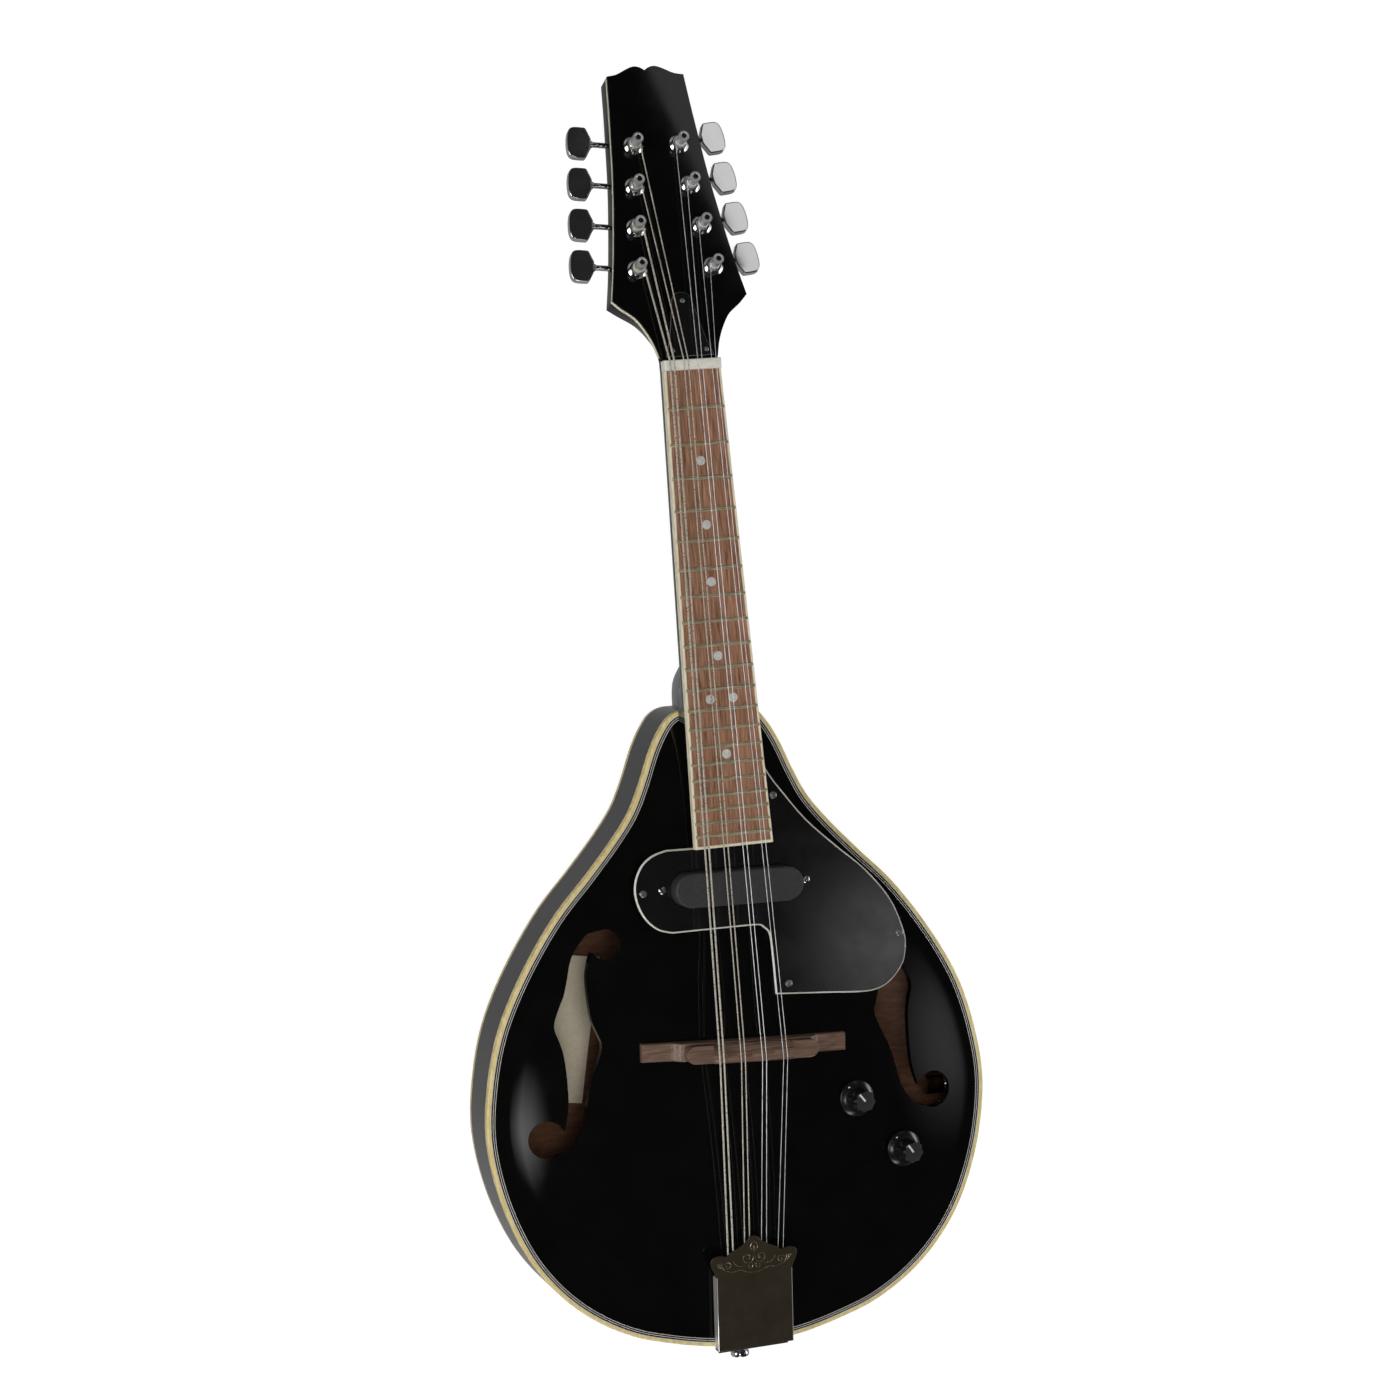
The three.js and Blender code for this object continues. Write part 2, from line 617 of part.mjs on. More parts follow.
addPiece('soundboard', cut(carvedPlate(TOP_RING_SHARES, topOuter, topInner), ...throughTop, ...controlHoles),
  blackLacquer);

// Back, with a flat crown on which the instrument lies
const backRings = [...TOP_RING_SHARES.slice(0, -1), CROWN_SHARE];
addPiece('back_plate', carvedPlate(backRings, backOuter, backInner), blackLacquer);

// Rim between the two plates, pierced for the output jack and the end pin
const rimTop = -TOP_EDGE_THICKNESS - CLEARANCE;
const rimBottom = BACK_EDGE_THICKNESS + CLEARANCE - RIM_DEPTH;
const rimMiddle = (rimTop + rimBottom) / 2;
const rimInside = inset(outline, RIM_THICKNESS);
const widest = outline.reduce((best, point) => (point.x > best.x ? point : best));
const alongX = (geometry) => geometry.rotateY(Math.PI / 2).translate(0, widest.y, rimMiddle);
const alongTail = (geometry) => geometry.rotateX(Math.PI / 2).translate(TAILPIECE_X, 0, END_PIN_Z);
const jackHole = faced(alongX(rod(JACK_SLEEVE_RADIUS + CLEARANCE, widest.x - RIM_THICKNESS - OVERRUN,
  widest.x + OVERRUN)));
const pinHole = faced(alongTail(rod(END_PIN_SHANK_RADIUS + CLEARANCE,
  -BODY_TAIL_Y - END_PIN_SHANK_LENGTH - OVERRUN, -BODY_TAIL_Y + OVERRUN)));
addPiece('rim', cut(band(outline, rimInside, rimBottom, rimTop), jackHole, pinHole), blackLacquer);

// Bindings: the upper one stops at the neck seat, the lower one runs all the way round
const bindingInside = inset(outline, BINDING_THICKNESS);
addPiece('top_binding', band(outline, bindingInside, -TOP_EDGE_THICKNESS, 0, { ring: false }), creamBinding);
addPiece('back_binding', band(outline, bindingInside, -RIM_DEPTH, BACK_EDGE_THICKNESS - RIM_DEPTH), creamBinding);

// Wedge-shaped linings glued along both edges of the rim
const liningOutside = inset(outline, RIM_THICKNESS + CLEARANCE);
const liningInside = inset(outline, RIM_THICKNESS + CLEARANCE + LINING_THICKNESS);
const topLining = [rimTop - LINING_HEIGHT, rimTop];
const backLining = [rimBottom, rimBottom + LINING_HEIGHT];
const wedge = (plateLevel, edgeLevel) => loft(liningOutside.map((point, i) => [
  new THREE.Vector3(point.x, point.y, plateLevel),
  new THREE.Vector3(point.x, point.y, edgeLevel),
  new THREE.Vector3(liningInside[i].x, liningInside[i].y, plateLevel),
]), { ring: true });
addPiece('top_lining', wedge(...topLining.toReversed()), spruce);
addPiece('back_lining', wedge(...backLining), spruce);

// Neck block and tail block fit inside the rim and are notched over the linings
const blockOutline = inset(outline, RIM_THICKNESS + CLEARANCE);
const notchInside = inset(outline, RIM_THICKNESS + CLEARANCE + LINING_THICKNESS + CLEARANCE);
const notchOutside = inset(outline, RIM_THICKNESS - CLEARANCE);
const notches = [topLining, backLining].map(([z0, z1]) => band(notchOutside, notchInside, z0 - CLEARANCE, z1 + CLEARANCE));
const insideBody = slab(blockOutline, rimTop - rimBottom, rimBottom);
function block(y0, y1, ...holes) {
  const blank = box(-BLOCK_WIDTH / 2, BLOCK_WIDTH / 2, y0, y1, rimBottom - OVERRUN, rimTop + OVERRUN);
  return cut(common(blank, insideBody), ...notches, ...holes);
}
addPiece('neck_block', block(BODY_TOP_Y - RIM_THICKNESS - BLOCK_LENGTH, BODY_TOP_Y), mahogany);
addPiece('tail_block', block(BODY_TAIL_Y, BODY_TAIL_Y + RIM_THICKNESS + BLOCK_LENGTH, pinHole), mahogany);

// Tone bars run under the soundboard and follow its arch
function toneBar(x) {
  const sections = Array.from({ length: BAR_STEPS + 1 }, (_, i) => {
    const along = i / BAR_STEPS - 1 / 2;
    const y = ARCH_CENTRE.y + along * BAR_LENGTH;
    const top = Math.min(...[-1, 1].map((side) => underTopHeight(x + (side * BAR_WIDTH) / 2, y))) - CLEARANCE;
    const bottom = top - BAR_HEIGHT * (1 - 2 * along * along);
    return [[-1, top], [1, top], [1, bottom], [-1, bottom]].map(([side, z]) => new THREE.Vector3(
      x + (side * BAR_WIDTH) / 2, y, z,
    ));
  });
  return loft(sections);
}
addPiece('bass_tone_bar', toneBar(-BAR_X), spruce);
addPiece('treble_tone_bar', toneBar(BAR_X), spruce);

// Paper label on the inside of the back, below the bass f-hole
function label() {
  const place = new THREE.Matrix4().makeRotationZ(LABEL_TURN).setPosition(LABEL_X, ARCH_CENTRE.y + LABEL_ABOVE_CENTRE, 0);
  const corners = [[-1, 0], [1, 0], [1, LABEL_THICKNESS], [-1, LABEL_THICKNESS]];
  return loft(Array.from({ length: LABEL_STEPS + 1 }, (_, i) => {
    const along = (i / LABEL_STEPS - 1 / 2) * LABEL_LENGTH;
    const [left, middle, right] = [-1, 0, 1].map((side) => {
      const point = new THREE.Vector3((side * LABEL_WIDTH) / 2, along, 0).applyMatrix4(place);
      return point.setZ(insideBackHeight(point.x, point.y));
    });
    const crown = Math.max(middle.z - (left.z + right.z) / 2, 0);
    return corners.map(([side, lift]) => {
      const { x, y, z } = side < 0 ? left : right;
      return new THREE.Vector3(x, y, z + CLEARANCE * 3 + crown + lift);
    });
  }));
}
addPiece('label', label(), paper);

// Fingerboard frame: its origin is the nut's front edge on the board's face, +Y runs to the headstock
const board = new THREE.Group();
board.position.set(0, SCALE_LENGTH, BOARD_LEVEL_AT_BODY - (SCALE_LENGTH - BODY_TOP_Y) * Math.tan(NECK_ANGLE));
board.rotation.x = -NECK_ANGLE;
body.add(board);
const boardBodyY = -(SCALE_LENGTH - BODY_TOP_Y) / Math.cos(NECK_ANGLE);
const fretY = (fret) => -SCALE_LENGTH * (1 - 2 ** (-fret / 12));
const boardEndY = fretY(FRET_COUNT) - BOARD_END_MARGIN;
const boardHalf = (y) => THREE.MathUtils.lerp(NUT_END_WIDTH, BODY_END_WIDTH, y / boardBodyY) / 2;
const innerHalf = (y) => boardHalf(y) - BOARD_BINDING;

const boardBlank = slab([
  new THREE.Vector2(-innerHalf(0), 0),
  new THREE.Vector2(-innerHalf(boardEndY), boardEndY),
  new THREE.Vector2(innerHalf(boardEndY), boardEndY),
  new THREE.Vector2(innerHalf(0), 0),
], BOARD_THICKNESS, -BOARD_THICKNESS);
const frets = Array.from({ length: FRET_COUNT }, (_, i) => {
  const y = fretY(i + 1);
  const half = innerHalf(y) - FRET_END_MARGIN;
  const profile = [
    new THREE.Vector2(-FRET_WIDTH / 2, -FRET_HEIGHT),
    new THREE.Vector2(FRET_WIDTH / 2, -FRET_HEIGHT),
    new THREE.Vector2(FRET_WIDTH / 2, 0),
    new THREE.Vector2(FRET_WIDTH / 4, FRET_HEIGHT),
    new THREE.Vector2(-FRET_WIDTH / 4, FRET_HEIGHT),
    new THREE.Vector2(-FRET_WIDTH / 2, 0),
  ];
  const crosswise = new THREE.Matrix4().set(0, 0, 1, -half, 1, 0, 0, y, 0, 1, 0, 0, 0, 0, 0, 1);
  return slab(profile, half + half).applyMatrix4(crosswise);
});
addPiece('fretboard', join(boardBlank, ...frets), rosewood, board);

// Binding round the two sides and the end of the board
const bindingGapEnd = boardEndY - CLEARANCE;
const bindingInner = (y) => innerHalf(y) + CLEARANCE;
addPiece('fretboard_binding', slab([
  new THREE.Vector2(boardHalf(0), 0),
  new THREE.Vector2(boardHalf(boardEndY), bindingGapEnd - BOARD_BINDING),
  new THREE.Vector2(-boardHalf(boardEndY), bindingGapEnd - BOARD_BINDING),
  new THREE.Vector2(-boardHalf(0), 0),
  new THREE.Vector2(-bindingInner(0), 0),
  new THREE.Vector2(-bindingInner(boardEndY), bindingGapEnd),
  new THREE.Vector2(bindingInner(boardEndY), bindingGapEnd),
  new THREE.Vector2(bindingInner(0), 0),
], BOARD_THICKNESS, -BOARD_THICKNESS), creamBinding, board);

// Headstock frame: its origin is the nut's front edge on the face of the headstock
const head = new THREE.Group();
head.position.set(0, SCALE_LENGTH, board.position.z - HEAD_DROP);
head.rotation.x = -HEAD_ANGLE;
body.add(head);

// Carries a point or a shape from the frame of a group to the body's frame or to another group's
function into(group, frame = body) {
  group.updateWorldMatrix(true, false);
  frame.updateWorldMatrix(true, false);
  return frame.matrixWorld.clone().invert().multiply(group.matrixWorld);
}
const inBody = (group, x, y, z) => new THREE.Vector3(x, y, z).applyMatrix4(into(group));
const headTilt = HEAD_ANGLE - NECK_ANGLE;

// Shaft of the neck: a half-round loft from under the nut to the body
const neckTop = -BOARD_THICKNESS - CLEARANCE;
function neckSection(y, depth, z = neckTop, half = boardHalf(y)) {
  const bow = Array.from({ length: NECK_STEPS - 1 }, (_, i) => {
    const angle = (Math.PI * (i + 1)) / NECK_STEPS;
    return new THREE.Vector3(half * Math.cos(angle), y, z - depth * Math.sin(angle) ** NECK_ROUND_SHARE);
  });
  return [new THREE.Vector3(half, y, z), ...bow, new THREE.Vector3(-half, y, z)];
}
const heelFace = BODY_TOP_Y + CLEARANCE;
const shaftEndY = boardBodyY + CLEARANCE / Math.cos(NECK_ANGLE) + NECK_DEPTH_AT_HEEL * Math.tan(NECK_ANGLE);
const neckShaft = loft([
  neckSection(shaftEndY, NECK_DEPTH_AT_HEEL),
  neckSection(0, NECK_DEPTH_AT_NUT),
  neckSection(NECK_UNDER_NUT, NECK_DEPTH_AT_NUT, neckTop, boardHalf(0)),
]).applyMatrix4(into(board));

// Extension that carries the fingerboard over the soundboard, without touching it
const extensionEnd = SCALE_LENGTH + (boardEndY + BOARD_END_MARGIN / 2) * Math.cos(NECK_ANGLE);
const extensionHalf = (y) => boardHalf((y - SCALE_LENGTH) / Math.cos(NECK_ANGLE)) - EXTENSION_INSET;
const underBoard = (y) => board.position.z + (SCALE_LENGTH - y) * Math.tan(NECK_ANGLE)
  + neckTop / Math.cos(NECK_ANGLE);
const extensionLevels = Array.from({ length: EXTENSION_STEPS + 1 }, (_, i) => (
  THREE.MathUtils.lerp(extensionEnd, heelFace + NECK_DEPTH_AT_HEEL / 2, i / EXTENSION_STEPS)
));
const neckExtension = loft(extensionLevels.map((y) => {
  const bottom = Math.max(topHeight(0, Math.min(y, BODY_TOP_Y - BINDING_THICKNESS)), 0) + CLEARANCE;
  const half = extensionHalf(y);
  return [
    new THREE.Vector3(-half, y, bottom),
    new THREE.Vector3(half, y, bottom),
    new THREE.Vector3(half, y, underBoard(y)),
    new THREE.Vector3(-half, y, underBoard(y)),
  ];
}));

// Heel: level sections that shrink from under the board down to the back's edge
const heel = loft(HEEL_STEP_SHARES.map((share) => {
  const half = THREE.MathUtils.lerp(extensionHalf(heelFace), HEEL_TIP_WIDTH / 2, share * Math.sqrt(share));
  const reach = THREE.MathUtils.lerp(HEEL_LENGTH, HEEL_TIP_LENGTH, share);
  const z = THREE.MathUtils.lerp(underBoard(heelFace + HEEL_LENGTH), BACK_EDGE_THICKNESS - RIM_DEPTH, share);
  return Array.from({ length: NECK_STEPS + 1 }, (_, i) => {
    const angle = (Math.PI * i) / NECK_STEPS;
    const side = Math.sign(Math.cos(angle)) * Math.abs(Math.cos(angle)) ** HEEL_ROUND_SHARE;
    return new THREE.Vector3(half * side, heelFace + reach * Math.sin(angle) ** HEEL_ROUND_SHARE, z);
  });
}));

// Headstock blank under the face veneer, with a rebate for its binding
const headHalfPoints = scaled(HEAD_SHARES, HEAD_WIDTH / 2, HEAD_LENGTH);
const faceStart = (NUT_THICKNESS + CLEARANCE) / Math.cos(headTilt) + HEAD_THICKNESS * Math.sin(headTilt) / 4;
const throatHalf = boardHalf(0);
const faceHalf = [...headHalfPoints, new THREE.Vector2(throatHalf, faceStart)];
const faceOutline = [
  ...faceHalf,
  ...faceHalf.slice(1).reverse().map((point) => new THREE.Vector2(-point.x, point.y)),
];
const woodOutline = [
  ...headHalfPoints,
  new THREE.Vector2(throatHalf, 0),
  new THREE.Vector2(-throatHalf, 0),
  ...headHalfPoints.slice(1).reverse().map((point) => new THREE.Vector2(-point.x, point.y)),
];
const woodTop = -HEADPLATE_THICKNESS - CLEARANCE;
const headCornerY = headHalfPoints.find((point) => point.x === HEAD_WIDTH / 2).y;
const backShareAt = (y) => THREE.MathUtils.lerp(THROAT_BACK_SHARE, 1, Math.min(y / headCornerY, 1));
const headBlank = loft([
  woodOutline.map(({ x, y }) => new THREE.Vector3(x * backShareAt(y), y, -HEAD_THICKNESS)),
  woodOutline.map(({ x, y }) => new THREE.Vector3(x, y, woodTop)),
]);
const openFace = [...faceOutline.slice(headHalfPoints.length + 1), ...faceOutline.slice(0, headHalfPoints.length + 1)];
const insetFace = (distance) => {
  const moved = inset(faceOutline, distance);
  return [...moved.slice(headHalfPoints.length + 1), ...moved.slice(0, headHalfPoints.length + 1)];
};
const headBindingTop = woodTop;
const headBindingBottom = headBindingTop - HEAD_BINDING_HEIGHT;
const throatCut = throatHalf + CLEARANCE;
const rebate = cut(
  slab(inset(faceOutline, -OVERRUN), HEAD_BINDING_HEIGHT + CLEARANCE + OVERRUN, headBindingBottom - CLEARANCE),
  slab(inset(faceOutline, HEAD_BINDING_THICKNESS + CLEARANCE), HEAD_BINDING_HEIGHT * 4, headBindingBottom * 2),
  box(-HEAD_WIDTH, HEAD_WIDTH, -HEAD_LENGTH, faceStart, headBindingBottom * 2, OVERRUN * 2),
);
addPiece('headstock_binding', band(openFace, insetFace(HEAD_BINDING_THICKNESS), headBindingBottom, headBindingTop,
  { ring: false }), creamBinding, head);

// Channel for the truss rod, open into the headstock so that its nut can be reached
const rodZ = neckTop - TRUSS_ROD_DEPTH;
const rodStartY = shaftEndY + HEEL_LENGTH / 2;
const channelHalf = TRUSS_ROD_RADIUS + CLEARANCE;
const pocketHalf = TRUSS_NUT_RADIUS + TRUSS_POCKET_MARGIN;
const pocketStart = TRUSS_NUT_REACH - TRUSS_NUT_LENGTH - CLEARANCE;
const channel = [
  box(-channelHalf, channelHalf, rodStartY - CLEARANCE, TRUSS_NUT_REACH, rodZ - channelHalf, neckTop + OVERRUN),
  box(-pocketHalf, pocketHalf, pocketStart, TRUSS_NUT_REACH + NUT_THICKNESS, rodZ - pocketHalf, neckTop + OVERRUN),
].map((tool) => tool.applyMatrix4(into(board)));
addPiece('truss_rod', join(
  faced(rod(TRUSS_ROD_RADIUS, rodStartY, TRUSS_NUT_REACH - TRUSS_NUT_LENGTH + OVERRUN)),
  faced(rod(TRUSS_NUT_RADIUS, TRUSS_NUT_REACH - TRUSS_NUT_LENGTH, TRUSS_NUT_REACH, SMALL_SIDES)),
).rotateX(-Math.PI / 2), steel, board).position.set(0, 0, rodZ);

// Tuner rows: a frame at the post nearest to the nut, +Y along the row to the tip
const rows = [-1, 1].map((side) => {
  const group = new THREE.Group();
  group.position.set(side * FIRST_POST_X, FIRST_POST_Y, 0);
  group.rotation.z = side * ROW_SLANT;
  head.add(group);
  return { side, group, word: side < 0 ? 'bass' : 'treble' };
});
const postYs = Array.from({ length: TUNERS_PER_SIDE }, (_, i) => i * TUNER_SPACING);
const postHoles = (radius, z0, z1) => rows.flatMap(({ group }) => postYs.map((y) => (
  faced(rod(radius, z0, z1, SMALL_SIDES)).translate(0, y, 0).applyMatrix4(into(group, head))
)));
const postHoleRadius = POST_RADIUS + CLEARANCE;
const nutSeat = box(-HEAD_WIDTH, HEAD_WIDTH, -NECK_UNDER_NUT, NUT_THICKNESS + CLEARANCE, neckTop, OVERRUN * 4);
const headWood = cut(headBlank, rebate, nutSeat.applyMatrix4(into(board, head)),
  ...postHoles(postHoleRadius, -HEAD_THICKNESS - OVERRUN, OVERRUN));
addPiece('neck', cut(join(neckShaft, heel, neckExtension, headWood.applyMatrix4(into(head))), ...channel),
  blackLacquer);

// Face veneer of the headstock, with a tapered ferrule round each post
const ferrules = rows.flatMap(({ group }) => postYs.map((y) => faced(turned([
  [0, -HEADPLATE_THICKNESS], [FERRULE_RADIUS, -HEADPLATE_THICKNESS], [FERRULE_RADIUS, FERRULE_HEIGHT / 3],
  [FERRULE_TOP_RADIUS, FERRULE_HEIGHT], [0, FERRULE_HEIGHT],
])).translate(0, y, 0).applyMatrix4(into(group, head))));
const veneer = slab(faceOutline, HEADPLATE_THICKNESS, -HEADPLATE_THICKNESS);
const veneerPocket = box(-pocketHalf, pocketHalf, 0, (TRUSS_NUT_REACH + NUT_THICKNESS) / Math.cos(headTilt),
  -HEAD_THICKNESS, OVERRUN);
addPiece('headplate', cut(join(veneer, ...ferrules), veneerPocket, ...postHoles(postHoleRadius,
  -HEADPLATE_THICKNESS - OVERRUN, FERRULE_HEIGHT + OVERRUN)), blackLacquer, head);

// Bell-shaped cover over the truss rod's nut
const bell = scaled(BELL_SHARES, COVER_PLATE_WIDTH / 2, COVER_PLATE_LENGTH);
addPiece('truss_rod_cover', slab(bothHalves(bell), COVER_PLATE_THICKNESS), blackPlastic, head)
  .position.set(0, COVER_START, CLEARANCE);

// Courses of strings, from the bass side to the treble side
const courseX = (spacing, pair, shift) => STRING_DIAMETERS.flatMap((_, course) => [-1, 1].map((side) => (
  (course - 3 / 2) * spacing + (side * pair) / 2 + shift
)));
const nutX = courseX(NUT_COURSE_SPACING, NUT_PAIR_SPACING, 0);
const saddleX = courseX(SADDLE_COURSE_SPACING, SADDLE_PAIR_SPACING, SADDLE_COURSE_SHIFT);
const tailX = courseX(TAIL_COURSE_SPACING, TAIL_PAIR_SPACING, TAIL_COURSE_SHIFT);
const stringRadius = (i) => STRING_DIAMETERS[Math.floor(i / 2)] / 2;

// Nut: a bone block between the board and the headstock veneer, slotted for the strings
const nutSlots = nutX.map((x, i) => box(
  x - stringRadius(i) - CLEARANCE, x + stringRadius(i) + CLEARANCE, -NUT_THICKNESS, NUT_THICKNESS * 2,
  NUT_RISE - stringRadius(i) - CLEARANCE, NUT_RISE + OVERRUN,
));
const nutHalf = boardHalf(0);
const nutBlank = box(-nutHalf, nutHalf, CLEARANCE, NUT_THICKNESS, neckTop + CLEARANCE, NUT_RISE);
addPiece('nut', cut(nutBlank, ...nutSlots), bone, board);

// Tuners: plate with ears, posts with their wheels, and knobs on their worm shafts
const plateTop = -HEAD_THICKNESS - CLEARANCE;
const plateBottom = plateTop - TUNER_PLATE_THICKNESS;
const wheelTop = plateBottom - CLEARANCE;
const wormZ = wheelTop - WHEEL_THICKNESS / 2;
const earBottom = wormZ - SHAFT_RADIUS - EAR_RISE;
const earAt = WORM_LENGTH / 2 + CLEARANCE + EAR_THICKNESS / 2;
const alongSide = (geometry) => geometry.rotateY(Math.PI / 2);

function tunerPlate() {
  const length = TUNER_SPACING * (TUNERS_PER_SIDE - 1);
  const plate = box(-TUNER_PLATE_WIDTH / 2, TUNER_PLATE_WIDTH / 2, -TUNER_PLATE_MARGIN, length + TUNER_PLATE_MARGIN,
    plateBottom, plateTop);
  const ears = postYs.flatMap((y) => [-1, 1].map((side) => box(
    side * earAt - EAR_THICKNESS / 2, side * earAt + EAR_THICKNESS / 2,
    y + WORM_OFFSET - EAR_WIDTH / 2, y + WORM_OFFSET + EAR_WIDTH / 2, earBottom, plateTop - CLEARANCE,
  )));
  const bearings = postYs.map((y) => faced(alongSide(rod(SHAFT_RADIUS + CLEARANCE, -TUNER_PLATE_WIDTH,
    TUNER_PLATE_WIDTH, SMALL_SIDES))).translate(0, y + WORM_OFFSET, wormZ));
  const holes = postYs.map((y) => faced(rod(postHoleRadius, plateBottom - OVERRUN, plateTop + OVERRUN, SMALL_SIDES))
    .translate(0, y, 0));
  return cut(join(plate, ...ears), ...bearings, ...holes);
}

function wheel() {
  const points = Array.from({ length: WHEEL_TEETH * 2 }, (_, i) => {
    const angle = (Math.PI * i) / WHEEL_TEETH;
    const radius = i % 2 ? WHEEL_RADIUS - WHEEL_TOOTH_DEPTH : WHEEL_RADIUS;
    return new THREE.Vector2(radius * Math.cos(angle), radius * Math.sin(angle));
  });
  return slab(points, WHEEL_THICKNESS, wheelTop - WHEEL_THICKNESS);
}

function post() {
  const headFloor = POST_HEIGHT - POST_HEAD_HEIGHT;
  const waistFloor = FERRULE_HEIGHT + CLEARANCE;
  return join(wheel(), faced(turned([
    [0, wheelTop - WHEEL_THICKNESS / 2], [POST_RADIUS, wheelTop - WHEEL_THICKNESS / 2], [POST_RADIUS, waistFloor],
    [POST_WAIST_RADIUS, waistFloor + CLEARANCE], [POST_WAIST_RADIUS, headFloor], [POST_RADIUS, headFloor + CLEARANCE],
    [POST_RADIUS, POST_HEIGHT], [0, POST_HEIGHT],
  ], SMALL_SIDES)));
}

// A knob points outwards along +X; it is turned round for the bass side
function tunerButton() {
  const half = scaled(BUTTON_SHARES, BUTTON_LENGTH, BUTTON_WIDTH / 2);
  const points = [...half, ...half.map((point) => new THREE.Vector2(point.x, -point.y)).reverse()];
  const start = BUTTON_CENTRE - BUTTON_LENGTH / 2;
  const grip = slab(points, BUTTON_THICKNESS, -BUTTON_THICKNESS / 2).translate(start, 0, 0);
  const shaft = faced(alongSide(rod(SHAFT_RADIUS, -earAt - EAR_THICKNESS, start + OVERRUN, SMALL_SIDES)));
  const worm = faced(alongSide(rod(WORM_RADIUS, -WORM_LENGTH / 2, WORM_LENGTH / 2, SMALL_SIDES)));
  return join(grip, shaft, worm);
}

rows.forEach(({ side, group, word }) => {
  addPiece(`${word}_tuner_plate`, tunerPlate(), nickel, group);
  postYs.forEach((y, i) => {
    addPiece(`${word}_post_${i + 1}`, post(), chrome, group).position.set(0, y, 0);
    const button = addPiece(`${word}_tuner_button_${i + 1}`, tunerButton(), chrome, group);
    button.position.set(0, y + WORM_OFFSET, wormZ);
    button.rotation.z = side < 0 ? Math.PI : 0;
  });
});

// Bridge frame: turned a little, as it stands in use
const bridge = new THREE.Group();
bridge.position.set(0, BRIDGE_Y, 0);
bridge.rotation.z = BRIDGE_TURN;
body.add(bridge);
const studX = [-STUD_SPACING / 2, STUD_SPACING / 2];

function underFoot(x) {
  const heights = [-1, 0, 1].map((side) => {
    const point = inBody(bridge, x, (side * BRIDGE_WIDTH) / 2, 0);
    return topHeight(point.x, point.y);
  });
  return Math.max(...heights) + CLEARANCE;
}

const bridgeFoot = loft(Array.from({ length: FOOT_STEPS + 1 }, (_, i) => {
  const x = (i / FOOT_STEPS - 1 / 2) * BRIDGE_FOOT_LENGTH;
  const floor = underFoot(x);
  const wing = floor + BRIDGE_WING_THICKNESS;
  const level = Math.abs(x) < SADDLE_LENGTH / 2 ? BRIDGE_FOOT_LEVEL : wing;
  const half = BRIDGE_WIDTH / 2;
  return [[-half, floor], [half, floor], [half, level], [-half, level]].map(([y, z]) => new THREE.Vector3(x, y, z));
}));
const studs = studX.map((x) => faced(rod(STUD_RADIUS, BRIDGE_FOOT_LEVEL - BRIDGE_WING_THICKNESS,
  BRIDGE_FOOT_LEVEL + STUD_HEIGHT, SMALL_SIDES)).translate(x, 0, 0));
addPiece('bridge_base', join(bridgeFoot, ...studs), rosewood, bridge);

// Thumbwheels carry the saddle and leave room for it to go down by its travel
const wheelFloor = BRIDGE_FOOT_LEVEL + CLEARANCE + SADDLE_TRAVEL;
const saddleFloor = wheelFloor + BRIDGE_WHEEL_THICKNESS + CLEARANCE;
const bridgeWheel = () => cut(
  faced(rod(BRIDGE_WHEEL_RADIUS, 0, BRIDGE_WHEEL_THICKNESS, ROUND_SIDES * 2)),
  faced(rod(STUD_RADIUS + CLEARANCE, -OVERRUN, BRIDGE_WHEEL_THICKNESS + OVERRUN, SMALL_SIDES)),
);
['bass_bridge_wheel', 'treble_bridge_wheel'].forEach((name, i) => {
  addPiece(name, bridgeWheel(), nickel, bridge).position.set(studX[i], 0, wheelFloor);
});

// Saddle: a round-ended bar that slopes up to a crest near its tail edge between two flat shoulders
const saddleHeight = SADDLE_CREST_LEVEL - saddleFloor;
const barOutline = new THREE.Shape();
const barEnd = (SADDLE_LENGTH - SADDLE_WIDTH) / 2;
barOutline.absarc(barEnd, 0, SADDLE_WIDTH / 2, -Math.PI / 2, Math.PI / 2);
barOutline.absarc(-barEnd, 0, SADDLE_WIDTH / 2, Math.PI / 2, (Math.PI * 3) / 2);
const barPoints = barOutline.getPoints(SADDLE_END_STEPS);
const shoulderLevel = SADDLE_CREST_LEVEL - SADDLE_SHOULDER_DROP;
const crestHalf = barEnd - SADDLE_WIDTH;
const crestY = -SADDLE_CREST_BACK;
const crest = loft([-1, 1].map((side) => [
  [-SADDLE_WIDTH / 2, saddleFloor + saddleHeight / 4], [SADDLE_WIDTH / 2, saddleFloor + saddleHeight / 4],
  [SADDLE_WIDTH / 2, saddleFloor + saddleHeight / 2], [crestY + SADDLE_CREST_WIDTH / 2, SADDLE_CREST_LEVEL],
  [crestY - SADDLE_CREST_WIDTH / 2, SADDLE_CREST_LEVEL], [-SADDLE_WIDTH / 2, shoulderLevel],
].map(([y, z]) => new THREE.Vector3(side * crestHalf, y, z))));
const shoulderCut = box(-crestHalf, crestHalf, -SADDLE_WIDTH, SADDLE_WIDTH, saddleFloor + saddleHeight / 3,
  shoulderLevel + OVERRUN);
const studSockets = studX.map((x) => faced(rod(STUD_RADIUS + CLEARANCE, saddleFloor - OVERRUN,
  BRIDGE_FOOT_LEVEL + STUD_HEIGHT + SADDLE_TRAVEL + CLEARANCE, SMALL_SIDES)).translate(x, 0, 0));
const saddleBar = slab(barPoints, shoulderLevel - saddleFloor, saddleFloor);
addPiece('bridge_saddle', cut(join(cut(saddleBar, shoulderCut), crest), ...studSockets), rosewood, bridge);

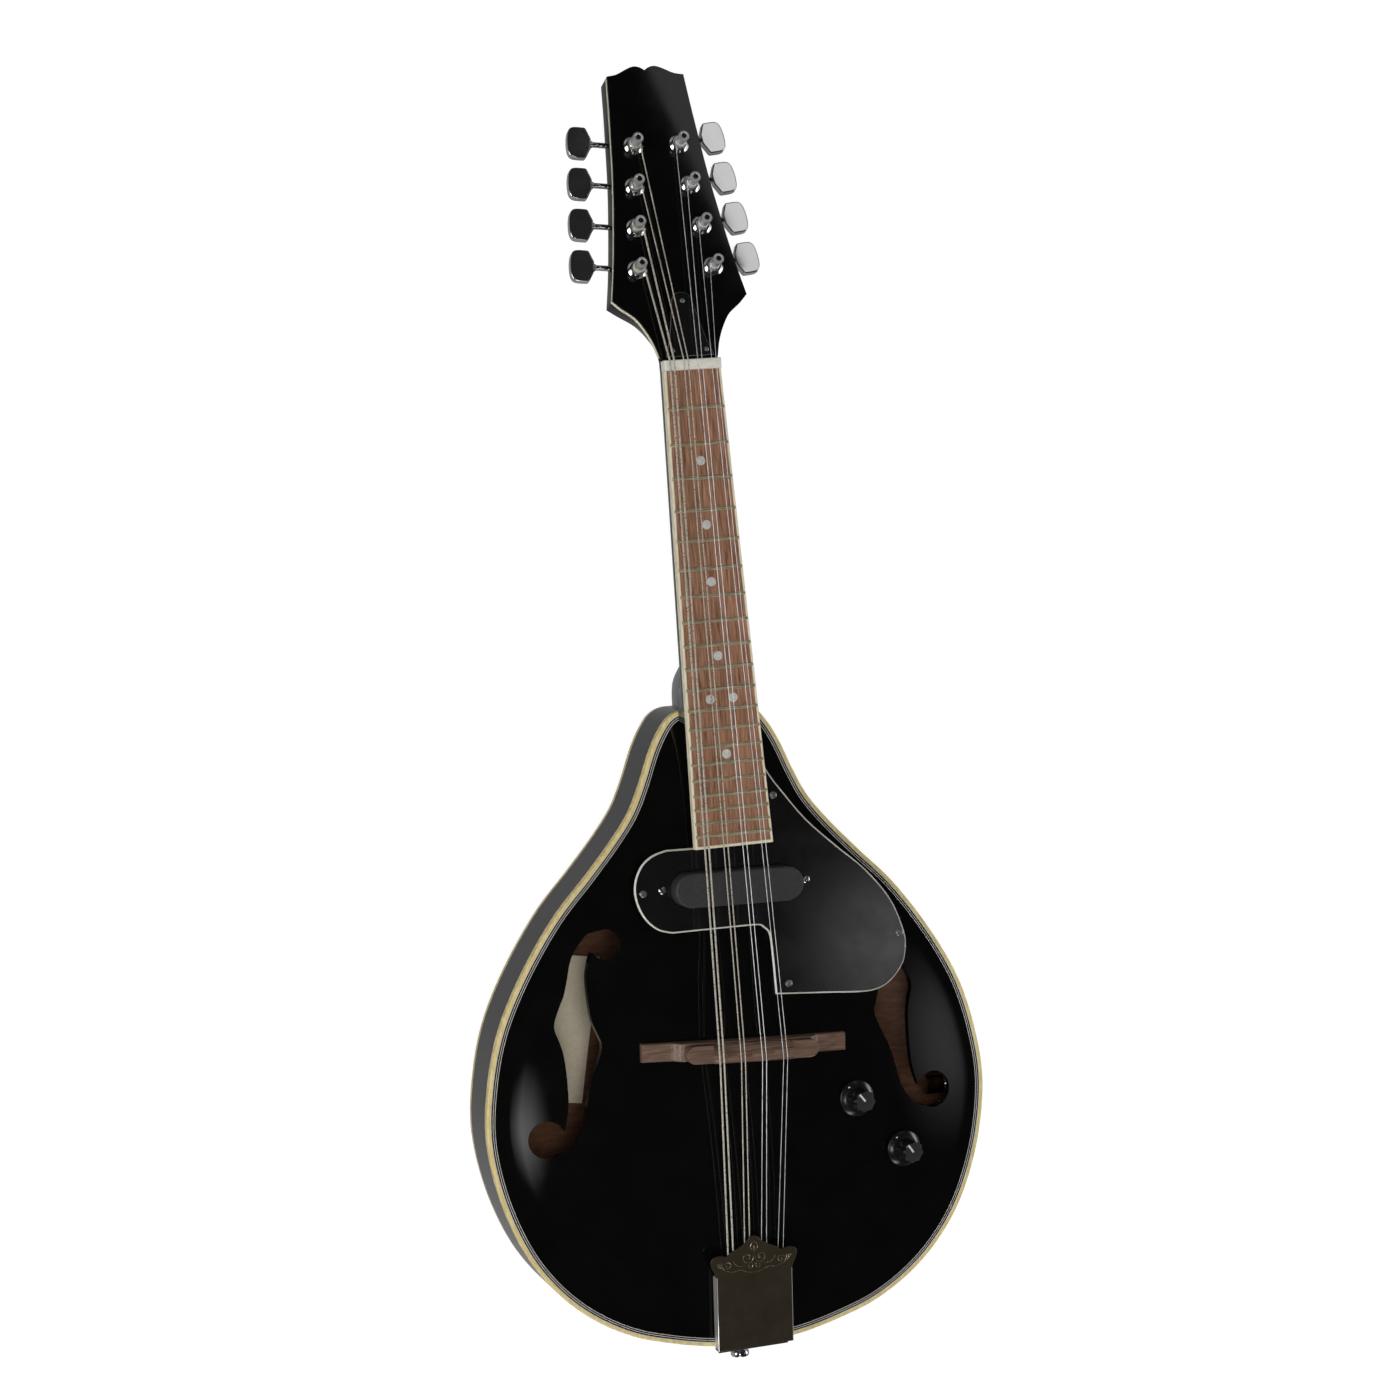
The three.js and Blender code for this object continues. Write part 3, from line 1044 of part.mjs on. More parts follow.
// Tailpiece frame, on the middle line of the strings at the tail
const tail = new THREE.Group();
tail.position.set(TAILPIECE_X, BODY_TAIL_Y, 0);
body.add(tail);
const apronFront = -CLEARANCE;
const apronBack = apronFront - TAIL_SHEET;
const baseFrontLevel = topHeight(TAILPIECE_X, BODY_TAIL_Y + TAIL_BASE_LENGTH) + TAIL_BASE_FRONT_LIFT;
const baseLevel = (y) => THREE.MathUtils.mapLinear(y, apronBack, TAIL_BASE_LENGTH, TAIL_BASE_REAR_LEVEL,
  baseFrontLevel);
const acrossX = new THREE.Matrix4().set(0, 0, 1, 0, 1, 0, 0, 0, 0, 1, 0, 0, 0, 0, 0, 1);
const crosswiseSlab = (profile, width) => slab(profile.map(([y, z]) => new THREE.Vector2(y, z)), width)
  .applyMatrix4(acrossX).translate(-width / 2, 0, 0);
const tailLeaf = crosswiseSlab([
  [apronBack, TAIL_BASE_REAR_LEVEL], [TAIL_BASE_LENGTH, baseFrontLevel],
  [TAIL_BASE_LENGTH, baseFrontLevel + TAIL_SHEET], [apronBack, TAIL_BASE_REAR_LEVEL + TAIL_SHEET],
], TAIL_BASE_WIDTH);
const tailApron = box(-TAIL_APRON_WIDTH / 2, TAIL_APRON_WIDTH / 2, apronBack, apronFront,
  TAIL_BASE_REAR_LEVEL - TAIL_APRON_HEIGHT, TAIL_BASE_REAR_LEVEL + TAIL_SHEET / 2);
const hookFloor = baseLevel(HOOK_INSET) + TAIL_SHEET / 2;
const hookTop = baseLevel(HOOK_INSET) + TAIL_SHEET + HOOK_HEIGHT;
const hooks = tailX.map((x) => box(x - HOOK_WIDTH / 2, x + HOOK_WIDTH / 2, HOOK_INSET - HOOK_WIDTH, HOOK_INSET,
  hookFloor, hookTop));
const apronHole = faced(rod(END_PIN_SHANK_RADIUS + CLEARANCE, -OVERRUN, apronBack * -2 + OVERRUN))
  .rotateX(Math.PI / 2).translate(0, 0, END_PIN_Z);
addPiece('tailpiece_base', cut(join(tailLeaf, tailApron, ...hooks), apronHole), nickel, tail);

// Cover: a bent sheet that slides off over the tail, with a scrolled front edge
const coverBack = COVER_REAR_INSET;
const coverFront = coverBack + COVER_LENGTH;
const coverLevel = (y) => THREE.MathUtils.mapLinear(y, coverBack, coverFront, COVER_REAR_LEVEL, COVER_FRONT_LEVEL);
const sideFront = coverBack + COVER_LENGTH * COVER_SIDE_TOP_SHARE;
const halfCover = COVER_WIDTH / 2;
const crownPoints = scaled(CROWN_SHARES, COVER_EAR_REACH / 2, COVER_LENGTH)
  .map((point) => point.add(new THREE.Vector2(0, coverBack)));
const facePoints = bothHalves([
  ...crownPoints, new THREE.Vector2(halfCover, sideFront), new THREE.Vector2(halfCover, coverBack),
]);
const slope = (COVER_FRONT_LEVEL - COVER_REAR_LEVEL) / COVER_LENGTH;
const lean = new THREE.Matrix4().set(1, 0, 0, 0, 0, 1, 0, 0, 0, slope, 1, COVER_REAR_LEVEL - slope * coverBack,
  0, 0, 0, 1);
const coverFace = slab(facePoints, COVER_SHEET, -COVER_SHEET).applyMatrix4(lean);
const sideProfile = [
  [coverBack, coverLevel(coverBack) - COVER_SHEET / 2], [sideFront, coverLevel(sideFront) - COVER_SHEET / 2],
  [sideFront, baseLevel(sideFront)], [coverBack, baseLevel(coverBack)],
];
const coverSides = [-1, 1].map((side) => crosswiseSlab(sideProfile, COVER_SHEET)
  .translate(side * (halfCover - COVER_SHEET / 2), 0, 0));
const coverRear = box(-halfCover, halfCover, coverBack, coverBack + COVER_SHEET,
  baseLevel(coverBack + COVER_SHEET) + TAIL_SHEET + CLEARANCE, COVER_REAR_LEVEL - COVER_SHEET / 2);
addPiece('tailpiece_cover', join(coverFace, ...coverSides, coverRear), darkChrome, tail);

// End pin through the tailpiece's apron and the rim into the tail block
const pinFace = -apronBack + CLEARANCE;
const endPin = faced(turned([
  [0, pinFace + END_PIN_REACH], [END_PIN_RADIUS, pinFace + END_PIN_REACH],
  [END_PIN_RADIUS, pinFace + END_PIN_REACH * 3 / 4], [END_PIN_WAIST_RADIUS, pinFace + END_PIN_REACH / 2],
  [END_PIN_RADIUS, pinFace + END_PIN_REACH / 6], [END_PIN_RADIUS, pinFace], [END_PIN_SHANK_RADIUS, pinFace],
  [END_PIN_SHANK_RADIUS, -END_PIN_SHANK_LENGTH], [0, -END_PIN_SHANK_LENGTH],
]));
addPiece('end_pin', endPin.rotateX(Math.PI / 2), chrome, tail).position.set(0, 0, END_PIN_Z);

// Pickguard: a flat plate on four pillars, cut round the neck and round the pickup
const guardPoint = ([x, y]) => new THREE.Vector2(GUARD_LEFT + x * GUARD_WIDTH, GUARD_FOOT + y * GUARD_LENGTH);
const trebleEdge = GUARD_TREBLE_SHARES.map(guardPoint);
const wingEdge = GUARD_WING_SHARES.map(guardPoint);
const wingEnd = wingEdge[wingEdge.length - 1];
const besideNeck = (y) => extensionHalf(y) + EXTENSION_INSET / 2;
const guardNeckTop = trebleEdge[0].y;
const guardUnder = extensionEnd - CLEARANCE - EXTENSION_INSET;
const guardOutline = [
  ...trebleEdge, ...GUARD_STEP_SHARES.map(guardPoint), ...wingEdge.slice(0, -1),
  new THREE.Vector2(wingEnd.x, Math.min(wingEnd.y, guardUnder)),
  new THREE.Vector2(besideNeck(extensionEnd), Math.min(wingEnd.y, guardUnder)),
  new THREE.Vector2(Math.min(besideNeck(guardNeckTop), trebleEdge[0].x - CLEARANCE), guardNeckTop),
];
function stadium(length, width) {
  const shape = new THREE.Shape();
  const end = (length - width) / 2;
  shape.absarc(end, 0, width / 2, -Math.PI / 2, Math.PI / 2);
  shape.absarc(-end, 0, width / 2, Math.PI / 2, (Math.PI * 3) / 2);
  return shape.getPoints(STADIUM_STEPS);
}
const pickupPlace = new THREE.Matrix4().makeRotationZ(PICKUP_TURN).setPosition(PICKUP_X, PICKUP_Y, 0);
const guardFloor = GUARD_LEVEL - GUARD_THICKNESS;
const pickupWindow = slab(stadium(PICKUP_LENGTH + CLEARANCE * 2, PICKUP_WIDTH + CLEARANCE * 2), GUARD_THICKNESS * 3,
  guardFloor - GUARD_THICKNESS).applyMatrix4(pickupPlace);
const pillars = GUARD_SCREW_SHARES.map(guardPoint).map(({ x, y }) => {
  const under = [-1, 0, 1].flatMap((i) => [-1, 0, 1].map((k) => topHeight(x + i * GUARD_PILLAR_RADIUS,
    y + k * GUARD_PILLAR_RADIUS)));
  const floor = Math.max(...under) + CLEARANCE;
  return faced(rod(GUARD_PILLAR_RADIUS, floor, guardFloor + GUARD_THICKNESS / 2, SMALL_SIDES)).translate(x, y, 0);
});
addPiece('pickguard', cut(join(slab(guardOutline, GUARD_THICKNESS, guardFloor), ...pillars), pickupWindow),
  blackPlastic);

// Pickup: a bar through the guard on a flange that is screwed under it
const flangeTop = guardFloor - CLEARANCE;
const pickupBody = join(
  slab(stadium(PICKUP_LENGTH, PICKUP_WIDTH), PICKUP_LEVEL - flangeTop + PICKUP_FLANGE_THICKNESS / 2,
    flangeTop - PICKUP_FLANGE_THICKNESS / 2),
  slab(stadium(PICKUP_FLANGE_LENGTH, PICKUP_FLANGE_WIDTH), PICKUP_FLANGE_THICKNESS,
    flangeTop - PICKUP_FLANGE_THICKNESS),
);
addPiece('pickup', pickupBody.applyMatrix4(pickupPlace), greyResin);

// Controls: the pot hangs under the soundboard and its knob turns in the bush above
const potTop = (wall) => -wall - CLEARANCE * 2;
const shaftHole = POT_SHAFT_RADIUS + CLEARANCE;
function pot(wall) {
  const top = potTop(wall);
  const floor = top - POT_DEPTH / 2;
  return faced(turned([
    [0, top - POT_DEPTH], [POT_RADIUS, top - POT_DEPTH], [POT_RADIUS, top], [POT_BUSH_RADIUS, top],
    [POT_BUSH_RADIUS, POT_BUSH_RISE], [shaftHole, POT_BUSH_RISE], [shaftHole, floor], [0, floor],
  ]));
}

function knob(wall) {
  const sides = KNOB_SCALLOPS * 6;
  const underside = POT_BUSH_RISE + CLEARANCE;
  const shaftEnd = potTop(wall) - POT_DEPTH / 2 + CLEARANCE;
  const cap = slab(Array.from({ length: sides }, (_, i) => {
    const angle = (2 * Math.PI * i) / sides;
    const radius = KNOB_CAP_RADIUS - KNOB_SCALLOP_DEPTH * Math.abs(Math.sin((angle * KNOB_SCALLOPS) / 2)) ** 2;
    return new THREE.Vector2(radius * Math.cos(angle), radius * Math.sin(angle));
  }), KNOB_HEIGHT - KNOB_SKIRT_HEIGHT, underside + KNOB_SKIRT_HEIGHT / 2);
  const skirt = faced(turned([
    [0, underside], [KNOB_SKIRT_RADIUS, underside], [KNOB_SKIRT_RADIUS, underside + KNOB_SKIRT_HEIGHT / 3],
    [KNOB_CAP_RADIUS, underside + KNOB_SKIRT_HEIGHT], [0, underside + KNOB_SKIRT_HEIGHT],
  ], ROUND_SIDES * 2));
  const shaft = faced(rod(POT_SHAFT_RADIUS, shaftEnd, underside + KNOB_SKIRT_HEIGHT / 2, SMALL_SIDES));
  return join(skirt, cap, shaft);
}

controls.forEach(({ name, group, wall }) => {
  addPiece(`${name}_pot`, pot(wall), nickel, group);
  addPiece(`${name}_knob`, knob(wall), blackPlastic, group);
});

// Output jack through the treble side of the rim, with an open bore for the plug
const jackFace = widest.x + CLEARANCE;
const jackInner = widest.x - RIM_THICKNESS - CLEARANCE - LINING_THICKNESS;
const jack = faced(turned([
  [0, jackFace - JACK_LENGTH], [JACK_SLEEVE_RADIUS, jackFace - JACK_LENGTH], [JACK_SLEEVE_RADIUS, jackFace],
  [JACK_FLANGE_RADIUS, jackFace], [JACK_FLANGE_RADIUS, jackFace + JACK_FLANGE_THICKNESS],
  [JACK_BORE_RADIUS, jackFace + JACK_FLANGE_THICKNESS], [JACK_BORE_RADIUS, jackFace - JACK_LENGTH + OVERRUN],
  [0, jackFace - JACK_LENGTH + OVERRUN],
], ROUND_SIDES));
addPiece('output_jack', jack.rotateY(Math.PI / 2), chrome).position.set(0, widest.y, rimMiddle);

// Strings: from a hook over the saddle and the nut, then three turns up round the waist of a post
function stringPath(i) {
  const radius = stringRadius(i);
  const side = i < 4 ? 0 : 1;
  const { group } = rows[side];
  const turn = side ? -1 : 1;
  const order = side ? 7 - i : i;
  const postY = postYs[order];
  const hook = inBody(tail, tailX[i], HOOK_INSET + CLEARANCE + radius, hookTop - HOOK_HEIGHT / 2);
  const crestPoint = inBody(bridge, saddleX[i], crestY, SADDLE_CREST_LEVEL + CLEARANCE + radius);
  const nutFront = inBody(board, nutX[i], 0, NUT_RISE);
  const nutBack = inBody(board, nutX[i], NUT_THICKNESS, NUT_RISE);
  const toRow = into(group).invert();
  const from = nutBack.clone().applyMatrix4(toRow);
  const windRadius = POST_WAIST_RADIUS + CLEARANCE + radius;
  const pitch = 2 * radius + WINDING_GAP;
  const start = FERRULE_HEIGHT + WINDING_LIFT + radius + CLEARANCE;
  const reach = new THREE.Vector2(-from.x, postY - from.y);
  const heading = reach.angle() - turn * Math.asin(windRadius / reach.length());
  const startAngle = heading - (turn * Math.PI) / 2;
  const winding = Array.from({ length: WINDING_TURNS * WINDING_STEPS + 1 }, (_, step) => {
    const turns = step / WINDING_STEPS;
    const angle = startAngle + turn * turns * 2 * Math.PI;
    return new THREE.Vector3(windRadius * Math.cos(angle), postY + windRadius * Math.sin(angle), start + pitch * turns);
  });
  const gap = winding.slice(WINDING_STEPS / 2).reduce((least, point, k) => {
    const lower = winding.slice(0, k + 1).map((other) => other.distanceTo(point));
    return Math.min(least, ...lower);
  }, Infinity) - 2 * radius;
  console.log(`string ${i + 1}: least gap of its winding to itself ${gap.toFixed(2)} mm`);
  return [hook, crestPoint, nutFront, nutBack, ...winding.map((point) => point.applyMatrix4(into(group)))];
}

STRING_DIAMETERS.forEach((_, course) => [0, 1].forEach((second) => {
  const i = course * 2 + second;
  addPiece(`string_${i + 1}`, tube(stringPath(i), stringRadius(i)), course < 2 ? wound : steel);
}));

export default mandolin;
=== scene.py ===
# %% [markdown]
# # Acoustic-electric mandolin
# The imported model is the fixed frame: it says where every piece lies and what turns or slides. This lesson
# builds a finer piece over most of its nodes. Lengths are written in millimetres, in the small frames that a
# maker would measure in (the rim's upper edge, the fingerboard, the headstock), and become metres when a
# piece is finished.

# %% Load the frame
import json
import math

import bmesh
import bpy
from mathutils import Matrix, Vector


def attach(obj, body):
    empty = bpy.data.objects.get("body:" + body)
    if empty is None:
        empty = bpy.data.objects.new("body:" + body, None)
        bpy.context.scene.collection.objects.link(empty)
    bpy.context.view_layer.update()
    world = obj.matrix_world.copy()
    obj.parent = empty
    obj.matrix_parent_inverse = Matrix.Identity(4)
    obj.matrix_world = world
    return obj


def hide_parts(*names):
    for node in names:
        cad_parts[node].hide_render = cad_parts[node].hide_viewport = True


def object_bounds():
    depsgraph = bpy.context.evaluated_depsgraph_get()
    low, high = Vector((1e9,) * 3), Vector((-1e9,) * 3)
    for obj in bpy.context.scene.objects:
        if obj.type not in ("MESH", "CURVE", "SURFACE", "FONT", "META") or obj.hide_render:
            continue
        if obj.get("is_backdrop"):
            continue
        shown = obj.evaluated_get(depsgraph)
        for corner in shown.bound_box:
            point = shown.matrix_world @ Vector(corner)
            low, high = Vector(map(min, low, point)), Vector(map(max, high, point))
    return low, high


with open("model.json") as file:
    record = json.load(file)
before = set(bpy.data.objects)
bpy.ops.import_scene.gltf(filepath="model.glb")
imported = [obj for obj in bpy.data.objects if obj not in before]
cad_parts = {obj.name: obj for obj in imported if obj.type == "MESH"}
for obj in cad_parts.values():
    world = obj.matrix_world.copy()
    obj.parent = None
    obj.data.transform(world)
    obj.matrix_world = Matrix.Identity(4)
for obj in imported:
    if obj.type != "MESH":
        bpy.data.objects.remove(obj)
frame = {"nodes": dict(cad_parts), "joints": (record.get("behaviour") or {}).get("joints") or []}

CAD_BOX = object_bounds()

# %% [markdown]
# ## Camera
# The photograph was taken from above the bass side, with the instrument lying on its back. Its place came
# from the frets and the headstock. A rotation matrix is easier to check than three angles that depend on
# each other.

# %% Set the camera
YAW, PITCH, ROLL = 0.2891, 0.0664, 0.0727
CAMERA_PLACE = (-0.4505, 0.3030, 1.5494)
FOCAL_LENGTH = 77.14
lens = bpy.data.cameras.new("camera")
lens.lens = FOCAL_LENGTH
lens.sensor_width = 36
lens.clip_end = 20
camera = bpy.data.objects.new("camera", lens)
turns = Matrix.Rotation(-YAW, 4, "Y") @ Matrix.Rotation(-PITCH, 4, "X") @ Matrix.Rotation(-ROLL, 4, "Z")
camera.matrix_world = Matrix.Translation(CAMERA_PLACE) @ turns
bpy.context.scene.collection.objects.link(camera)
bpy.context.scene.camera = camera
bpy.context.scene.view_settings.view_transform = "Standard"
print("camera", FOCAL_LENGTH, "mm at", CAMERA_PLACE)

# %% [markdown]
# ## Finishes
# Most finishes are one recipe at different scales: a noise pattern moves the colour between two close tones,
# shifts the roughness a little and raises a faint bump. The pattern reads Object coordinates, so it stays on
# the piece when the piece moves. A Mapping node stretches it, which turns a round speckle into wood grain or
# brushed metal.

# %% A helper that adds a node and its links
def add_node(material, kind, links=None, **settings):
    """Adds a shader node; a link's value is another node's socket or a plain number."""
    tree = material.node_tree
    node = tree.nodes.new(kind)
    for key, value in settings.items():
        setattr(node, key, value)
    for socket, source in (links or {}).items():
        if isinstance(source, bpy.types.NodeSocket):
            tree.links.new(source, node.inputs[socket])
        else:
            node.inputs[socket].default_value = source
    return node


# %% The recipe for a finish
def finish(name, dark, light, rough, scale=1, detail=4.0, bump=0.1, depth=0.0001, **values):
    """A material whose colour, roughness and surface follow one noise pattern.

    The scale is one number, or three for a pattern that is stretched along an axis.
    """
    material = bpy.data.materials.new(name)
    material.use_nodes = True
    shader = material.node_tree.nodes["Principled BSDF"]
    for socket, value in values.items():
        shader.inputs[socket.replace("_", " ")].default_value = value
    place = add_node(material, "ShaderNodeTexCoord")
    stretch = add_node(material, "ShaderNodeMapping", {
        "Vector": place.outputs["Object"], "Scale": scale if isinstance(scale, tuple) else (scale,) * 3})
    grain = add_node(material, "ShaderNodeTexNoise", {
        "Vector": stretch.outputs["Vector"], "Scale": 1000, "Detail": detail, "Roughness": 0.6})
    low, high = 0.3, 0.7
    tones = add_node(material, "ShaderNodeValToRGB", {"Fac": grain.outputs["Fac"]})
    tones.color_ramp.elements[0].position = low
    tones.color_ramp.elements[0].color = (*dark, 1)
    tones.color_ramp.elements[1].position = high
    tones.color_ramp.elements[1].color = (*light, 1)
    dull = add_node(material, "ShaderNodeMapRange", {
        "Value": grain.outputs["Fac"], "From Min": low, "From Max": high,
        "To Min": rough[0], "To Max": rough[1]})
    relief = add_node(material, "ShaderNodeBump", {
        "Height": grain.outputs["Fac"], "Strength": bump, "Distance": depth})
    relief.name = "relief"
    links = material.node_tree.links
    links.new(tones.outputs["Color"], shader.inputs["Base Color"])
    links.new(dull.outputs["Result"], shader.inputs["Roughness"])
    links.new(relief.outputs["Normal"], shader.inputs["Normal"])
    return material


def grey(value):
    """A colour without any tint."""
    return (value, value, value)


# %% Lacquer, fibre lines and binding
lacquer = finish("black_lacquer", (0.0018, 0.0018, 0.0017), (0.003, 0.003, 0.0028), (0.03, 0.06),
                 scale=0.05, bump=0.01)
cream = finish("cream_binding", (0.74, 0.57, 0.22), (0.87, 0.73, 0.36), (0.2, 0.34),
               scale=(0.5, 0.1, 0.5), bump=0.05)
pale_cream = finish("pale_binding", (0.80, 0.72, 0.50), (0.90, 0.84, 0.66), (0.2, 0.34),
                    scale=(0.5, 0.1, 0.5), bump=0.05)
white_line = finish("white_fibre", (0.66, 0.64, 0.57), (0.78, 0.76, 0.70), (0.2, 0.3), bump=0.03)
black_line = finish("black_fibre", (0.010, 0.009, 0.009), (0.018, 0.016, 0.016), (0.15, 0.25), bump=0.03)
print("lacquer, lines and binding done")

# %% Bare wood
spruce = finish("bare_spruce", (0.42, 0.25, 0.11), (0.58, 0.38, 0.19), (0.55, 0.75),
                scale=(1.2, 0.03, 1.2), bump=0.4)
maple = finish("bare_maple", (0.07, 0.032, 0.018), (0.17, 0.085, 0.048), (0.5, 0.7),
               scale=(0.06, 0.5, 0.5), bump=0.3)
mahogany = finish("bare_mahogany", (0.12, 0.05, 0.025), (0.2, 0.085, 0.04), (0.5, 0.7),
                  scale=(0.9, 0.05, 0.9), bump=0.4)
rosewood = finish("rosewood", (0.13, 0.055, 0.030), (0.52, 0.275, 0.165), (0.34, 0.5),
                  scale=(1.1, 0.035, 1.1), detail=8.0, bump=0.5, depth=0.00015)
bridge_wood = finish("bridge_rosewood", (0.06, 0.034, 0.022), (0.26, 0.165, 0.115), (0.28, 0.46),
                     scale=(0.04, 1.1, 1.1), detail=8.0, bump=0.5, depth=0.00015)
print("wood done")

# %% Metals
chrome = finish("chrome", (0.72, 0.72, 0.73), (0.80, 0.80, 0.81), (0.04, 0.08), scale=0.1, bump=0.01,
                Metallic=1)
post_chrome = finish("satin_chrome", (0.60, 0.60, 0.61), (0.76, 0.76, 0.77), (0.16, 0.26), scale=0.3,
                     bump=0.03, Metallic=0.6)
dark_screw = finish("dark_screw", grey(0.24), grey(0.36), (0.16, 0.26), scale=0.3, bump=0.03, Metallic=0.7)
nickel = finish("nickel", (0.55, 0.53, 0.49), (0.66, 0.64, 0.59), (0.16, 0.28), scale=0.4, bump=0.08,
                Metallic=1)
brass = finish("worn_brass", (0.48, 0.34, 0.14), (0.60, 0.45, 0.21), (0.2, 0.34), scale=0.6, bump=0.1,
               Metallic=1)
fret_wire = finish("fret_wire", (0.42, 0.38, 0.24), (0.60, 0.55, 0.38), (0.2, 0.34),
                   scale=(0.1, 1.5, 1.5), bump=0.1, Metallic=0.5)
bronze_plate = finish("dark_chrome", (0.040, 0.031, 0.020), (0.054, 0.043, 0.028), (0.1, 0.18), scale=0.1,
                      bump=0.02, Metallic=0.3)
engraved = finish("engraved_bronze", (0.30, 0.25, 0.17), (0.46, 0.40, 0.29), (0.2, 0.3), scale=0.5,
                  bump=0.05, Metallic=0.8)
# The cover's bright edge metal: its near-white colour is partly a painted highlight on the rounded edges.
edge_metal_with_painted_highlight = finish("polished_edge_painted_highlight", (0.78, 0.77, 0.75), (0.88, 0.87, 0.85), (0.08, 0.16), scale=0.5,
                     bump=0.05, Metallic=0.6)
plain_steel = finish("plain_string", (0.74, 0.74, 0.75), (0.90, 0.90, 0.91), (0.24, 0.34),
                     scale=(1, 0.1, 1), bump=0.1, Metallic=0.4)
rod_steel = finish("rod_steel", (0.28, 0.28, 0.29), (0.4, 0.4, 0.41), (0.3, 0.45), scale=(1, 0.1, 1),
                   bump=0.2, Metallic=1)
print("metals done")

# %% Plastics, bone, pearl and paper
black_plastic = finish("black_plastic", grey(0.005), grey(0.008), (0.08, 0.14), scale=0.06, bump=0.01)
# The knob tops' lighter grey is a painted sheen; the moulded skirts keep the plain black.
knob_top_painted_sheen = finish("knob_top_painted_sheen", grey(0.026), grey(0.042), (0.2, 0.26), scale=0.05, bump=0.01)
skirt_plastic = finish("skirt_plastic", grey(0.006), grey(0.010), (0.17, 0.23), scale=0.05, bump=0.01)
grey_line = finish("grey_fibre", (0.15, 0.15, 0.145), (0.22, 0.22, 0.21), (0.2, 0.3), bump=0.03)
grey_resin = finish("grey_resin", grey(0.020), (0.050, 0.050, 0.049), (0.45, 0.7), scale=1.4, detail=6.0,
                    bump=0.7, depth=0.0002)
bone = finish("bone", (0.80, 0.77, 0.68), (0.92, 0.90, 0.82), (0.24, 0.36), scale=(0.2, 0.8, 0.8), bump=0.08)
pearl = finish("pearl", (0.50, 0.52, 0.50), (0.78, 0.77, 0.74), (0.12, 0.24), scale=(0.9, 0.5, 0.9),
               bump=0.05, Coat_Weight=0.5)
paper = finish("label_paper", (0.66, 0.58, 0.42), (0.76, 0.69, 0.53), (0.8, 0.92), scale=0.5, detail=8.0,
               bump=0.2)
print("plastics, bone, pearl and paper done")

# %% [markdown]
# The two heavier courses are steel cores wrapped in fine bronze wire. Modelling each turn would take
# thousands of faces, so a wave pattern along the string raises one bump for each turn of the wrap instead.

# %% Wrapped string
wrapped = finish("wound_string", (0.62, 0.57, 0.48), (0.80, 0.75, 0.65), (0.24, 0.36), Metallic=0.6)
place = add_node(wrapped, "ShaderNodeTexCoord")
turns_of_wrap = add_node(wrapped, "ShaderNodeTexWave", {"Vector": place.outputs["Object"], "Scale": 380},
                         bands_direction="Y")
wrap_relief = add_node(wrapped, "ShaderNodeBump", {
    "Height": turns_of_wrap.outputs["Fac"], "Strength": 0.8, "Distance": 0.0002,
    "Normal": wrapped.node_tree.nodes["relief"].outputs["Normal"]})
wrapped.node_tree.links.new(wrap_relief.outputs["Normal"],
                            wrapped.node_tree.nodes["Principled BSDF"].inputs["Normal"])
print("wrapped string done")

# %% [markdown]
# ## Frames to measure in
# A maker measures the body from the rim's edge, the fingerboard from the nut and the tuners from their row.
# Each frame is a matrix from its own millimetres to the whole instrument's.

# %% Driving dimensions
SCALE_LENGTH = 350
BODY_TOP_Y = 175
BODY_LENGTH = 338
BODY_TAIL_Y = BODY_TOP_Y - BODY_LENGTH
RIM_DEPTH = 41
TOP_RISE = 13
BACK_RISE = 15
SADDLE_Y = 20
NECK_ANGLE = math.radians(3.1)
BOARD_RISE = 18.5
BOARD_Z = BOARD_RISE - (SCALE_LENGTH - BODY_TOP_Y) * math.tan(NECK_ANGLE)
print("board frame's height at the nut", round(BOARD_Z, 2), "mm")

# %% Body, fingerboard, headstock and tuner frames
HEAD_ANGLE, HEAD_DROP = math.radians(15.9), 2.3
ROW_X, FIRST_POST_Y, ROW_ANGLE = 20.6, 56, math.radians(6.8)
BRIDGE_Y, BRIDGE_ANGLE = -2.3, math.radians(-3.4)
TAIL_X = -3.4
BODY = Matrix.Translation((0, SADDLE_Y, RIM_DEPTH + BACK_RISE))
NUT = BODY @ Matrix.Translation((0, SCALE_LENGTH, BOARD_Z))
BOARD = NUT @ Matrix.Rotation(-NECK_ANGLE, 4, "X")
HEAD = NUT @ Matrix.Translation((0, 0, -HEAD_DROP)) @ Matrix.Rotation(-HEAD_ANGLE, 4, "X")
ROWS = {}
for word, side in (("bass", -1), ("treble", 1)):
    start = Matrix.Translation((side * ROW_X, FIRST_POST_Y, 0))
    ROWS[word] = HEAD @ start @ Matrix.Rotation(side * ROW_ANGLE, 4, "Z")
BRIDGE = BODY @ Matrix.Translation((0, BRIDGE_Y, 0)) @ Matrix.Rotation(BRIDGE_ANGLE, 4, "Z")
TAIL = BODY @ Matrix.Translation((TAIL_X, BODY_TAIL_Y, 0))
print("frames for the body, board, headstock, bridge, tail and", len(ROWS), "rows of tuners")


# %% Control frames come from their joints
def joint_frame(name):
    """The frame of a turning joint in millimetres, with +Z along its axis and +X nearly the instrument's."""
    joint = next(item for item in frame["joints"] if item["name"] == name)
    axis = Vector(joint["axis"]).normalized()
    ahead = axis.cross(Vector((1, 0, 0))).normalized()
    turn = Matrix((ahead.cross(axis), ahead, axis)).transposed().to_4x4()
    return Matrix.Translation(Vector(joint["pos_m"]) * 1000) @ turn


CONTROLS = {name: joint_frame(name + "_turn") for name in ("volume", "tone")}
for name, place in CONTROLS.items():
    print(name, "knob at", [round(value, 1) for value in place.translation], "mm")

# %% [markdown]
# ## Shaping helpers
# Nearly every piece starts from one flat face or one line and grows by extruding. `pull` extrudes a face and
# moves the new end by a matrix, which makes slabs, tubes and tapers. `loft` does the same but sends each
# corner to a given place, for carved forms. `turn_round` spins a profile about the z axis, like a lathe.

